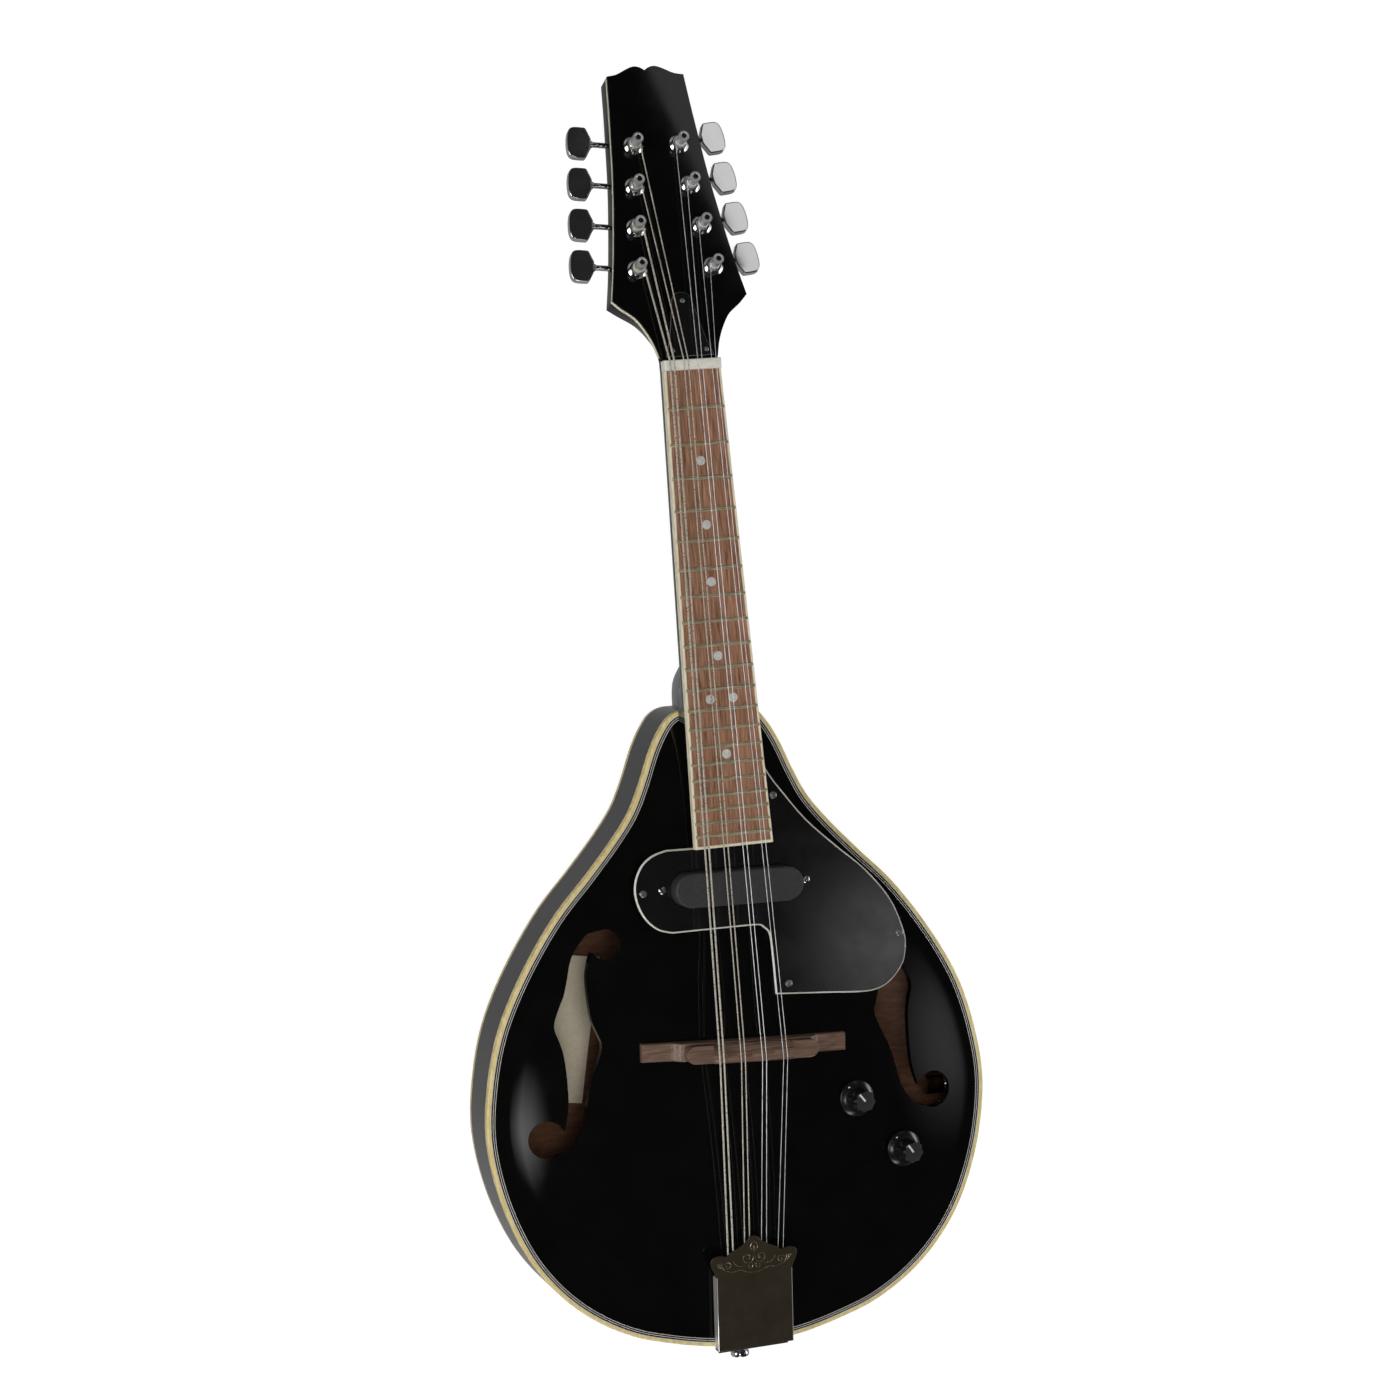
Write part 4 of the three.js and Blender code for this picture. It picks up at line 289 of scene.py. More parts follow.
# %% Faces, slabs and pulls
def flat_face(bm, points):
    """A face through 2D or 3D points."""
    corners = [bm.verts.new(point if len(point) == 3 else (*point, 0)) for point in points]
    face = bm.faces.new(corners)
    face.normal_update()
    return face


def frame_face(bm, face, width):
    """Insets a face by an even width; the face becomes the inner one, and the new frame is returned."""
    face.normal_update()
    return bmesh.ops.inset_region(bm, faces=[face], thickness=width, use_even_offset=True,
                                  use_boundary=True)["faces"]


def pull(bm, face, *moves):
    """Extrudes a face once for each matrix and returns the last end."""
    for move in moves:
        # The edges go in too: a face given alone would stay behind as a wall inside the piece.
        grown = bmesh.ops.extrude_face_region(bm, geom=[face, *face.edges])["geom"]
        face = next(item for item in grown if isinstance(item, bmesh.types.BMFace))
        bmesh.ops.transform(bm, matrix=move, verts=face.verts[:])
    return face


def slab(bm, points, z0, z1):
    """A flat outline raised from one level to another; returns its upper face."""
    face = flat_face(bm, [(point[0], point[1], z0) for point in points])
    return pull(bm, face, Matrix.Translation((0, 0, z1 - z0)))


def block(bm, low, high, place=Matrix()):
    """A box between two corners."""
    low, high = Vector(low), Vector(high)
    shape = Matrix.Translation((low + high) / 2) @ Matrix.Diagonal((*(high - low), 1))
    return bmesh.ops.create_cube(bm, size=1, matrix=place @ shape)["verts"]


# %% Lofts, lathe work and tubes
def loft(bm, sections):
    """Carries a face through a row of sections with equally many points."""
    tag = bm.verts.layers.int.get("corner") or bm.verts.layers.int.new("corner")
    face = flat_face(bm, sections[0])
    for number, vertex in enumerate(face.verts):
        vertex[tag] = number
    for section in sections[1:]:
        face = pull(bm, face, Matrix())
        for vertex in face.verts:
            vertex.co = section[vertex[tag]]
    return face


def turn_round(bm, profile, steps=24, place=Matrix()):
    """Spins a profile of radius and height pairs about the z axis."""
    line = [bm.verts.new((radius, 0, height)) for radius, height in profile]
    edges = [bm.edges.new(pair) for pair in zip(line, line[1:])]
    spun = bmesh.ops.spin(bm, geom=line + edges, cent=(0, 0, 0), axis=(0, 0, 1), angle=math.tau,
                          steps=steps, use_merge=True)
    last_edges = [item for item in spun["geom_last"] if isinstance(item, bmesh.types.BMEdge)]
    reached, queue = set(), line + [vertex for edge in last_edges for vertex in edge.verts]
    while queue:
        vertex = queue.pop()
        if vertex.is_valid and vertex not in reached:
            reached.add(vertex)
            queue.extend(edge.other_vert(vertex) for edge in vertex.link_edges)
    bmesh.ops.transform(bm, matrix=place, verts=list(reached))
    bmesh.ops.remove_doubles(bm, verts=list(reached), dist=0.0001)


def rod(bm, radius, low, high, steps=24, place=Matrix()):
    """A plain cylinder between two heights."""
    turn_round(bm, [(0, low), (radius, low), (radius, high), (0, high)], steps, place)


def tube(bm, points, radius, sides=10):
    """A round rod along a path, kept from twisting; radius is a number or one for each point."""
    points = [Vector(point) for point in points]
    radii = radius if isinstance(radius, list) else [radius] * len(points)
    side, sections = None, []
    for i, point in enumerate(points):
        along = (points[min(i + 1, len(points) - 1)] - points[max(i - 1, 0)]).normalized()
        side = along.orthogonal() if side is None else side - along * side.dot(along)
        side.normalize()
        sections.append([point + Matrix.Rotation(math.tau * k / sides, 3, along) @ side * radii[i]
                         for k in range(sides)])
    return loft(bm, sections)


# %% Rounding, curves and outlines
def round_edges(bm, width, segments=2, angle=40, where=lambda edge: True):
    """Bevels the edges that turn by more than an angle, in degrees."""
    sharp = [edge for edge in bm.edges if len(edge.link_faces) == 2 and where(edge)
             and edge.calc_face_angle(0) > math.radians(angle)]
    return bmesh.ops.bevel(bm, geom=sharp, offset=width, offset_type="OFFSET", segments=segments,
                           profile=0.5, affect="EDGES", clamp_overlap=True, material=-1)["faces"]


def above(level):
    """Tells a bevel to take only the edges above a level."""
    return lambda edge: all(vertex.co.z > level for vertex in edge.verts)


def below(level):
    """Tells a bevel to take only the edges below a level."""
    return lambda edge: all(vertex.co.z < level for vertex in edge.verts)


def curve_through(points, steps):
    """A smooth line through 2D or 3D points, with some steps in each span."""
    line = [Vector(point) for point in (points[0], *points, points[-1])]
    path = []
    for a, b, c, d in zip(line, line[1:], line[2:], line[3:]):
        for step in range(steps):
            t = step / steps
            path.append(0.5 * (2 * b + (c - a) * t + (2 * a - 5 * b + 4 * c - d) * t * t
                               + (3 * b - a - 3 * c + d) * t * t * t))
    return [*path, line[-1]]


def arc(centre, radius, first, last, steps):
    """Points on an arc, with angles in degrees."""
    angles = [math.radians(first + (last - first) * k / steps) for k in range(steps + 1)]
    return [(centre[0] + radius * math.cos(angle), centre[1] + radius * math.sin(angle)) for angle in angles]


def stadium(half_length, radius, steps):
    """A long outline with two round ends."""
    return [*arc((half_length, 0), radius, -90, 90, steps), *arc((-half_length, 0), radius, 90, 270, steps)]


def both_halves(right):
    """The whole outline from its right half, which starts on the centre line."""
    return [*right, *[Vector((-point.x, point.y)) for point in reversed(right[1:])]]


# %% Finished pieces
def settle(piece, smooth):
    """Smooth shading up to the creases, where a broad flat face keeps its own normal beside its bevels."""
    piece.data.shade_smooth()
    piece.data.set_sharp_from_angle(angle=math.radians(smooth))
    change = piece.modifiers.new("even", "WEIGHTED_NORMAL")
    change.mode = "FACE_AREA"
    change.weight = 100
    change.keep_sharp = True
    keep_result(piece)


def keep_result(piece):
    """Makes what the modifiers show the piece's plain mesh."""
    shape = bpy.data.meshes.new_from_object(piece.evaluated_get(bpy.context.evaluated_depsgraph_get()))
    piece.modifiers.clear()
    piece.data = shape
    shape.name = piece.name


def make_piece(bm, name, materials, place=Matrix(), body="instrument", stands_for=(), smooth=35):
    """Turns a bmesh in millimetres into a finished object in metres."""
    bmesh.ops.remove_doubles(bm, verts=bm.verts[:], dist=0.0005)
    bmesh.ops.dissolve_degenerate(bm, edges=bm.edges[:], dist=0.0002)
    bmesh.ops.recalc_face_normals(bm, faces=bm.faces[:])
    bmesh.ops.transform(bm, matrix=Matrix.Scale(0.001, 4) @ place, verts=bm.verts[:])
    mesh = bpy.data.meshes.new(name)
    bm.to_mesh(mesh)
    bm.free()
    for material in materials:
        mesh.materials.append(material)
    piece = bpy.data.objects.new(name, mesh)
    bpy.context.scene.collection.objects.link(piece)
    settle(piece, smooth)
    if body:
        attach(piece, body)
        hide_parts(*stands_for)
    print(f"{name}: {len(piece.data.polygons)} faces")
    return piece


# %% Cutting and joining
def carve(piece, *tools, operation="DIFFERENCE", smooth=35):
    """Cuts tools out of a piece, or joins them to it, and keeps the result as its plain mesh."""
    for tool in tools:
        change = piece.modifiers.new("carve", "BOOLEAN")
        change.object = tool
        change.operation = operation
        change.solver = "EXACT"
    keep_result(piece)
    for tool in tools:
        bpy.data.objects.remove(tool)
    settle(piece, smooth)
    print(f"{piece.name}: {len(piece.data.polygons)} faces once carved")
    return piece


def make_tool(bm, material, place=Matrix()):
    """A shape that only cuts or joins; it rides on nothing and is removed after use."""
    return make_piece(bm, "tool", [material], place=place, body=None)


def drill(radius, low, high, material, place, steps=24):
    """A round tool for a bore; its material becomes the wall's."""
    bm = bmesh.new()
    rod(bm, radius, low, high, steps)
    return make_tool(bm, material, place)


def box_tool(low, high, material, place):
    """A square tool for a notch; its material becomes the walls'."""
    bm = bmesh.new()
    block(bm, low, high)
    return make_tool(bm, material, place)

# %% [markdown]
# ## Outline of the body
# The body is a symmetrical drop with narrow shoulders. Half of it is drawn through points, as shares of the
# half width and of the length, and mirrored. The plates swell from the edge to the middle, so their height
# depends on how far out a point lies between the centre of the arch and the edge.

# %% The outline
HALF_WIDTH = 136.7
SHOULDER_X = 16
OUTLINE_SHARES = [
    (0, 0), (0.175, 0.006), (0.335, 0.02), (0.5, 0.042), (0.66, 0.081), (0.79, 0.132), (0.89, 0.195),
    (0.965, 0.278), (1, 0.367), (0.983, 0.448), (0.928, 0.533), (0.825, 0.616), (0.685, 0.698),
    (0.547, 0.758), (0.44, 0.806), (0.36, 0.848), (0.31, 0.888), (0.275, 0.923), (0.256, 0.941),
    (0.232, 0.96), (0.21, 0.974), (0.185, 0.987), (0.153, 0.996),
]
half = [(x * HALF_WIDTH, BODY_TAIL_Y + y * BODY_LENGTH) for x, y in OUTLINE_SHARES]
half.append((SHOULDER_X, BODY_TOP_Y))
outline = curve_through([*reversed(half[1:]), *[(-x, y) for x, y in half]], 6)
print(len(outline), "points round the body")


# %% Insets of a flat outline
def inset(points, distance):
    """Moves a closed 2D outline inwards by a distance."""
    area = sum(a.x * b.y - b.x * a.y for a, b in zip(points, points[1:] + points[:1]))
    turn = 1 if area > 0 else -1
    moved = []
    for i, point in enumerate(points):
        normals = []
        for a, b in ((points[i - 1], point), (point, points[(i + 1) % len(points)])):
            edge = (b - a).normalized()
            normals.append(Vector((-edge.y, edge.x)) * turn)
        moved.append(point + (normals[0] + normals[1]) * distance / (1 + normals[0].dot(normals[1])))
    return moved


BINDING = 1.8
plate_outline = inset(outline, BINDING)
print("plates lie", BINDING, "mm inside the outline")

# %% How far out a point lies
ARCH_CENTRE = Vector((0, -20))
bearings = sorted(((point - ARCH_CENTRE).angle_signed(Vector((1, 0))), (point - ARCH_CENTRE).length)
                  for point in plate_outline)


def edge_share(x, y):
    """How far out a point lies: 0 at the centre of the arch, 1 at the plate's edge and beyond."""
    reach = Vector((x, y)) - ARCH_CENTRE
    if reach.length < 0.001:
        return 0
    angle = reach.angle_signed(Vector((1, 0)))
    low, high = 0, len(bearings)
    while low < high:
        middle = (low + high) // 2
        if bearings[middle][0] < angle:
            low = middle + 1
        else:
            high = middle
    (a0, r0), (a1, r1) = bearings[low - 1], bearings[low % len(bearings)]
    span = (a1 - a0) % math.tau
    part = ((angle - a0) % math.tau) / span if span else 0
    return min(reach.length / (r0 + (r1 - r0) * part), 1)


# %% Height of the carved arch
RUN_OUT_SHARE, FULLNESS, BLEND = 0.95, 2.2, 0.1
CROWN_SHARE = 0.27


def arch_share(share):
    """Height of the arch as a share of its rise: a broad crown that runs out into a flat edge."""
    soft = lambda value: (value + math.hypot(value, BLEND)) / 2
    fall = lambda at: soft(1 - (at / RUN_OUT_SHARE) ** FULLNESS)
    return (fall(share) - fall(1)) / (fall(0) - fall(1))


def top_height(x, y):
    return TOP_RISE * arch_share(edge_share(x, y))


def back_share(share):
    """The back's arch, with its crown cut flat so that the body rests on it."""
    return min(arch_share(share) / arch_share(CROWN_SHARE), 1)


def back_height(x, y):
    return -RIM_DEPTH - BACK_RISE * back_share(edge_share(x, y))


print("top at the bridge", round(top_height(0, BRIDGE_Y), 2), "mm above the rim")

# %% [markdown]
# ## Carved plates
# Each plate starts as one flat face with the body's outline. Insets of a fixed width make the black and
# white lines along the edge, and pulls towards the centre make the rings of the arch. The whole sheet is
# then extruded once: the old corners are lifted to the outer arch and the new ones to the arch inside.

# %% Build a plate
RING_SHARES = [0.97, 0.94, 0.9, 0.86, 0.82, 0.77, 0.72, 0.66, 0.6, 0.54, 0.48, 0.42, 0.36, 0.3, 0.25, 0.2,
               0.15, 0.1, 0.05]
WHITE, BLACK, BARE = 1, 2, 3
EDGE_LINES = [(0.5, WHITE), (0.75, BLACK), (0.28, WHITE), (0.75, BLACK), (0.28, WHITE)]


def carved_plate(outer_height, inner_height, lines):
    """Bmesh of a carved plate: lacquer outside, inlaid lines of given widths and slots, bare wood inside."""
    bm = bmesh.new()
    face = flat_face(bm, plate_outline)
    inlay = {}
    for width, slot in lines:
        for item in frame_face(bm, face, width):
            inlay[item] = slot
    centre = Matrix.Translation((*ARCH_CENTRE, 0))
    last = 1
    for share in RING_SHARES:
        shrink = Matrix.Diagonal((share / last, share / last, 1, 1))
        face = pull(bm, face, centre @ shrink @ centre.inverted())
        last = share
    bmesh.ops.poke(bm, faces=[face])
    for item in bm.faces:
        item.material_index = inlay.get(item, 0)
    upper = bm.verts[:]
    grown = bmesh.ops.extrude_face_region(bm, geom=bm.faces[:])["geom"]
    lower = [item for item in grown if isinstance(item, bmesh.types.BMVert)]
    for item in grown:
        if isinstance(item, bmesh.types.BMFace):
            item.material_index = BARE
    for verts, height in ((upper, outer_height), (lower, inner_height)):
        for vertex in verts:
            vertex.co.z = height(vertex.co.x, vertex.co.y)
    print("open edges of the plate:", sum(not edge.is_manifold for edge in bm.edges))
    return bm


# %% [markdown]
# A mirror-black plate shows every facet in its reflections. The arch is a formula, so its true slope is
# known at every corner, and the carved faces take their normals from it.

# %% Normals from the arch's formula
def slope_normal(height, upward):
    """A function that gives the arch's own normal at a point in metres of the whole instrument."""
    def normal_at(point):
        x, y = point.x * 1000, point.y * 1000 - SADDLE_Y
        reach = 1.5
        slope_x = (height(x + reach, y) - height(x - reach, y)) / (2 * reach)
        slope_y = (height(x, y + reach) - height(x, y - reach)) / (2 * reach)
        return Vector((-slope_x, -slope_y, 1)).normalized() * upward
    return normal_at


def polish(piece, normal_at):
    """Gives the carved faces the arch's own normals, so that reflections run smoothly over them."""
    mesh = piece.data
    at_vertex = [normal_at(vertex.co) for vertex in mesh.vertices]
    normals = [Vector()] * len(mesh.loops)
    for polygon in mesh.polygons:
        for loop in polygon.loop_indices:
            ideal = at_vertex[mesh.loops[loop].vertex_index]
            normals[loop] = ideal if ideal.dot(polygon.normal) > 0.9 else polygon.normal.copy()
    mesh.normals_split_custom_set(normals)


# %% [markdown]
# The two f-holes are cut right through the soundboard. Their round lobes are arcs, and the stem between them
# is a smooth curve. A Boolean cut with a solid of that outline leaves a clean inner wall, as the real saw
# does.

# %% Outline of an f-hole
F_EYE = (68, 58.2)
F_WIDTH, F_LENGTH = 38.4, 97.5
UPPER_LOBE, LOWER_LOBE = 7.8, 9.8
F_OUTER_SHARES = [
    (0.214, -0.066), (0.357, -0.011), (0.445, 0.036), (0.508, 0.094), (0.555, 0.163), (0.625, 0.251),
    (0.711, 0.319), (0.789, 0.407), (0.732, 0.491), (0.693, 0.565), (0.677, 0.677), (0.682, 0.809),
    (0.714, 0.89),
]
F_INNER_SHARES = [
    (0.705, 1.062), (0.612, 1.017), (0.521, 0.961), (0.466, 0.882), (0.406, 0.783), (0.336, 0.694),
    (0.18, 0.544), (0.224, 0.465), (0.279, 0.4), (0.302, 0.318), (0.305, 0.205), (0.284, 0.135),
    (0.208, 0.046),
]


def f_hole(side):
    """Outline of the f-hole on one side of the body."""
    at = lambda share: (F_EYE[0] + share[0] * F_WIDTH, F_EYE[1] - share[1] * F_LENGTH)
    stem = lambda start, shares, end: [
        tuple(point) for point in curve_through([start, *map(at, shares), end], 3)[1:-1]]
    upper = arc(at((0, 0)), UPPER_LOBE, -30, -265, 24)
    lower = arc(at((1, 1)), LOWER_LOBE, 157, -125, 28)
    outer = stem(upper[-1], F_OUTER_SHARES, lower[0])
    inner = stem(lower[-1], F_INNER_SHARES, upper[0])
    return [(x * side, y) for x, y in (*upper, *outer, *lower, *inner)]


# %% Hollow side of a plate
HOLLOW_SHARE, FLAT_SHARE = 0.76, 0.9
TOP_WOOD, TOP_EDGE = 4.5, 5
BACK_WOOD = 4


def hollow(share, deep, flat):
    """Runs from the hollowed middle of a plate to the flat strip that is glued to the rim."""
    edge = min(max((share - HOLLOW_SHARE) / (FLAT_SHARE - HOLLOW_SHARE), 0), 1)
    return deep * (1 - edge) + flat * edge


def under_top(x, y):
    share = edge_share(x, y)
    return hollow(share, TOP_RISE * arch_share(min(share, HOLLOW_SHARE)) - TOP_WOOD, -TOP_EDGE)


def inside_back(x, y):
    share = edge_share(x, y)
    flat = BACK_WOOD - RIM_DEPTH
    return hollow(share, flat - BACK_RISE * back_share(min(share, HOLLOW_SHARE)), flat)


# %% Soundboard
CONTROL_BORE = 4.5
CUT_LOW, CUT_HIGH = -9, 18
soundboard = make_piece(carved_plate(top_height, under_top, EDGE_LINES), "carved_soundboard",
                        [lacquer, white_line, black_line, spruce], place=BODY, stands_for=["soundboard"])
tools = []
for side in (-1, 1):
    bm = bmesh.new()
    slab(bm, f_hole(side), CUT_LOW, CUT_HIGH)
    tools.append(make_tool(bm, lacquer, BODY))
for place in CONTROLS.values():
    tools.append(drill(CONTROL_BORE, CUT_LOW, 6, lacquer, place))
carve(soundboard, *tools)
polish(soundboard, slope_normal(top_height, 1))

# %% Back
back = make_piece(carved_plate(back_height, inside_back, [(1, 0)]), "carved_back",
                  [lacquer, white_line, black_line, maple], place=BODY, stands_for=["back_plate"])
polish(back, slope_normal(back_height, -1))

# %% [markdown]
# ## Rim and bindings
# The rim is a thin band bent round the outline, lacquered outside and bare inside. The two bindings are
# cream plastic strips let into its edges. All three are the same shape: a face with the outline, inset by
# the strip's width, with the middle taken out and the ring raised.

# %% Band round the body
def band(bm, points, width, z0, z1):
    """A closed strip that follows an outline."""
    face = flat_face(bm, [(point[0], point[1], z0) for point in points])
    frame_face(bm, face, width)
    bmesh.ops.delete(bm, geom=[face], context="FACES")
    grown = bmesh.ops.extrude_face_region(bm, geom=bm.faces[:])["geom"]
    verts = [item for item in grown if isinstance(item, bmesh.types.BMVert)]
    bmesh.ops.translate(bm, vec=(0, 0, z1 - z0), verts=verts)
    bmesh.ops.recalc_face_normals(bm, faces=bm.faces[:])


def faces_inwards(face):
    middle = face.calc_center_median()
    return face.normal.xy.dot(middle.xy - ARCH_CENTRE) < 0 and abs(face.normal.z) < 0.5


def on_outer_edge(level):
    """Tells a bevel to take only the outer edge at one level."""
    def outside(vertex, edge):
        return any(face.normal.xy.dot(vertex.co.xy - ARCH_CENTRE) > 1 for face in edge.link_faces)

    def wanted(edge):
        level_with = all(abs(vertex.co.z - level) < 0.01 for vertex in edge.verts)
        return level_with and all(outside(vertex, edge) for vertex in edge.verts)
    return wanted


# %% Rim
RIM_WALL, GAP = 2.5, 0.1
JACK_Y, JACK_Z, JACK_BORE = -41.68, -21, 5.7
PIN_Z, PIN_BORE = -24, 3.1
bm = bmesh.new()
band(bm, outline, RIM_WALL, BACK_WOOD + GAP - RIM_DEPTH, -TOP_EDGE - GAP)
for face in bm.faces:
    face.material_index = 1 if faces_inwards(face) else 0
rim = make_piece(bm, "bent_rim", [lacquer, maple], place=BODY, stands_for=["rim"])
jack_place = BODY @ Matrix.Translation((0, JACK_Y, JACK_Z)) @ Matrix.Rotation(math.pi / 2, 4, "Y")
pin_place = TAIL @ Matrix.Translation((0, 0, PIN_Z)) @ Matrix.Rotation(math.pi / 2, 4, "X")
carve(rim, drill(JACK_BORE, 130, 140, lacquer, jack_place), drill(PIN_BORE, -6, 3, lacquer, pin_place))

# %% Bindings
PROUD = 0.25
BINDING_ROUND = 0.7
bm = bmesh.new()
band(bm, outline, BINDING, -TOP_EDGE, PROUD)
round_edges(bm, BINDING_ROUND, 3, where=on_outer_edge(PROUD))
top_binding = make_piece(bm, "upper_binding", [cream], place=BODY, stands_for=["top_binding"])
notch = box_tool((-SHOULDER_X, BODY_TOP_Y - 2.6, -8), (SHOULDER_X, BODY_TOP_Y + 3, 3), cream, BODY)
carve(top_binding, notch)
bm = bmesh.new()
band(bm, outline, BINDING, -RIM_DEPTH, BACK_WOOD - RIM_DEPTH)
round_edges(bm, BINDING_ROUND, 3, where=on_outer_edge(-RIM_DEPTH))
make_piece(bm, "lower_binding", [cream], place=BODY, stands_for=["back_binding"])

# %% [markdown]
# ## Fingerboard
# A tapered strip of rosewood carries twenty frets. Fret n lies at the string length times two to the power
# of minus n twelfths from the saddle, so a loop places them all. Each fret is a rod flattened to a low
# crown, half sunk.

# %% Board and its binding
NUT_WIDTH, OCTAVE_WIDTH, OCTAVE_Y = 30.6, 38.8, -175.26
BOARD_WOOD, BOARD_STRIP = 5, 1.3
FRETS = 20
fret_y = lambda number: -SCALE_LENGTH * (1 - 2 ** (-number / 12))
board_half = lambda y: (NUT_WIDTH + (OCTAVE_WIDTH - NUT_WIDTH) * y / OCTAVE_Y) / 2
BOARD_END_Y = fret_y(FRETS) - 5
nut_half, end_half = board_half(0), board_half(BOARD_END_Y)
bm = bmesh.new()
slab(bm, [(-nut_half + BOARD_STRIP, 0), (-end_half + BOARD_STRIP, BOARD_END_Y),
          (end_half - BOARD_STRIP, BOARD_END_Y), (nut_half - BOARD_STRIP, 0)], -BOARD_WOOD, 0)
make_piece(bm, "fingerboard_wood", [rosewood], place=BOARD, stands_for=["fretboard"])
bm = bmesh.new()
strip = BOARD_STRIP + 0.02
slab(bm, [(nut_half, 0), (end_half, BOARD_END_Y - 1.5), (-end_half, BOARD_END_Y - 1.5), (-nut_half, 0),
          (-nut_half + strip, 0), (-end_half + strip, BOARD_END_Y), (end_half - strip, BOARD_END_Y),
          (nut_half - strip, 0)], -BOARD_WOOD, 0.02)
round_edges(bm, 0.35, 2)
make_piece(bm, "fingerboard_binding", [pale_cream], place=BOARD, stands_for=["fretboard_binding"])

# %% Frets
FRET_HEIGHT, FRET_FLATTER, FRET_END = 0.55, 1.8, 0.8
bm = bmesh.new()
for number in range(1, FRETS + 1):
    half_width = board_half(fret_y(number)) - 0.5
    centre = Matrix.Translation((0, fret_y(number), 0))
    start = Matrix.Translation((-half_width, fret_y(number), 0)) @ Matrix.Rotation(math.pi / 2, 4, "Y")
    disc = bmesh.ops.create_circle(bm, cap_ends=True, radius=FRET_HEIGHT, segments=12, matrix=start)
    grow = centre @ Matrix.Diagonal((1, FRET_FLATTER, FRET_FLATTER, 1)) @ centre.inverted()
    step = lambda distance: Matrix.Translation((distance, 0, 0))
    pull(bm, disc["verts"][0].link_faces[0], step(FRET_END) @ grow, step(2 * (half_width - FRET_END)),
         step(FRET_END) @ grow.inverted())
make_piece(bm, "frets", [fret_wire], place=BOARD)

# %% [markdown]
# The position marks are round pearl dots let in between the frets: one at the third, fifth, seventh, tenth
# and fifteenth fret, and a pair at the twelfth. They stand a hair above the wood so that they never flicker
# against it.

# %% Position dots
DOT = [(0, -0.5), (2.4, -0.5), (2.4, 0.02), (2.2, 0.06), (0, 0.06)]
DOT_OFFSETS = {3: [0], 5: [0], 7: [0], 10: [0], 12: [-6.2, 6.2], 15: [0]}
bm = bmesh.new()
for number, offsets in DOT_OFFSETS.items():
    middle_y = (fret_y(number) + fret_y(number - 1)) / 2
    for offset in offsets:
        turn_round(bm, DOT, 24, Matrix.Translation((offset, middle_y, 0)))
make_piece(bm, "position_dots", [pearl], place=BOARD)


# %% Strings' places across the nut, the saddle and the tailpiece
def spread(spacing, pair, shift):
    """Places of eight strings: four courses at one spacing, each a pair with its own small spacing."""
    return [(i // 2 - 1.5) * spacing + (pair / 2 if i % 2 else -pair / 2) + shift for i in range(8)]


STRING_RADII = [0.485, 0.485, 0.31, 0.31, 0.185, 0.185, 0.14, 0.14]
nut_x, saddle_x, tail_x = spread(7.5, 2.35, 0), spread(11.5, 2.15, -0.7), spread(8.6, 3, 1.3)
print("strings cover", round(nut_x[-1] - nut_x[0], 2), "mm at the nut")

# %% Nut
NUT_HALF, NUT_HEIGHT = 15.3, 1.9
bm = bmesh.new()
block(bm, (-NUT_HALF, 0.05, -BOARD_WOOD), (NUT_HALF, 5.45, NUT_HEIGHT))
round_edges(bm, 0.7, 3, where=above(0))
nut = make_piece(bm, "bone_nut", [bone], place=BOARD, stands_for=["nut"])
tools = []
for x, radius in zip(nut_x, STRING_RADII):
    bm = bmesh.new()
    tube(bm, [(x, -2, NUT_HEIGHT), (x, 8, NUT_HEIGHT)], radius + 0.05, 12)
    tools.append(make_tool(bm, bone, BOARD))
carve(nut, *tools)

# %% [markdown]
# ## Neck and headstock
# The neck is one piece of wood: a rounded shaft, a heel that reaches down to the back, a tongue that carries
# the board over the soundboard, and the headstock. Each is a loft of sections, and a Boolean union makes
# them one skin.

# %% Shaft
NECK_TOP = -5.05
NECK_DEPTH = 15


def bow(half_width, y, depth):
    """A half-round section of the neck, seen along it."""
    angles = [math.pi * k / 28 for k in range(29)]
    return [(half_width * math.cos(angle), y, NECK_TOP - depth * math.sin(angle) ** 0.82) for angle in angles]


sections = [bow(board_half(y), y, NECK_DEPTH - 2 * y / BODY_TOP_Y) for y in (-BODY_TOP_Y, -120, -60, 0)]
bm = bmesh.new()
loft(bm, [*sections, bow(nut_half, 6, NECK_DEPTH)])
neck = make_piece(bm, "neck_wood", [lacquer], place=BOARD, stands_for=["neck"])


# %% Tongue over the soundboard
def under_board(y):
    """Height of the neck's flat top, in the body's frame."""
    return BOARD_Z + (SCALE_LENGTH - y) * math.tan(NECK_ANGLE) + NECK_TOP / math.cos(NECK_ANGLE)


def tongue_half(y):
    return board_half(-(SCALE_LENGTH - y)) - 0.8


tongue_end = SCALE_LENGTH + (BOARD_END_Y + 2.5) * math.cos(NECK_ANGLE)
tongue = []
for step in range(13):
    y = tongue_end + (BODY_TOP_Y + 9 - tongue_end) * step / 12
    low, high = max(top_height(0, min(y, BODY_TOP_Y - 2)), 0) + 0.15, under_board(y)
    wide = tongue_half(y)
    tongue.append([(-wide, y, low), (wide, y, low), (wide, y, high), (-wide, y, high)])
bm = bmesh.new()
loft(bm, tongue)
joined = [make_tool(bm, lacquer, BODY)]

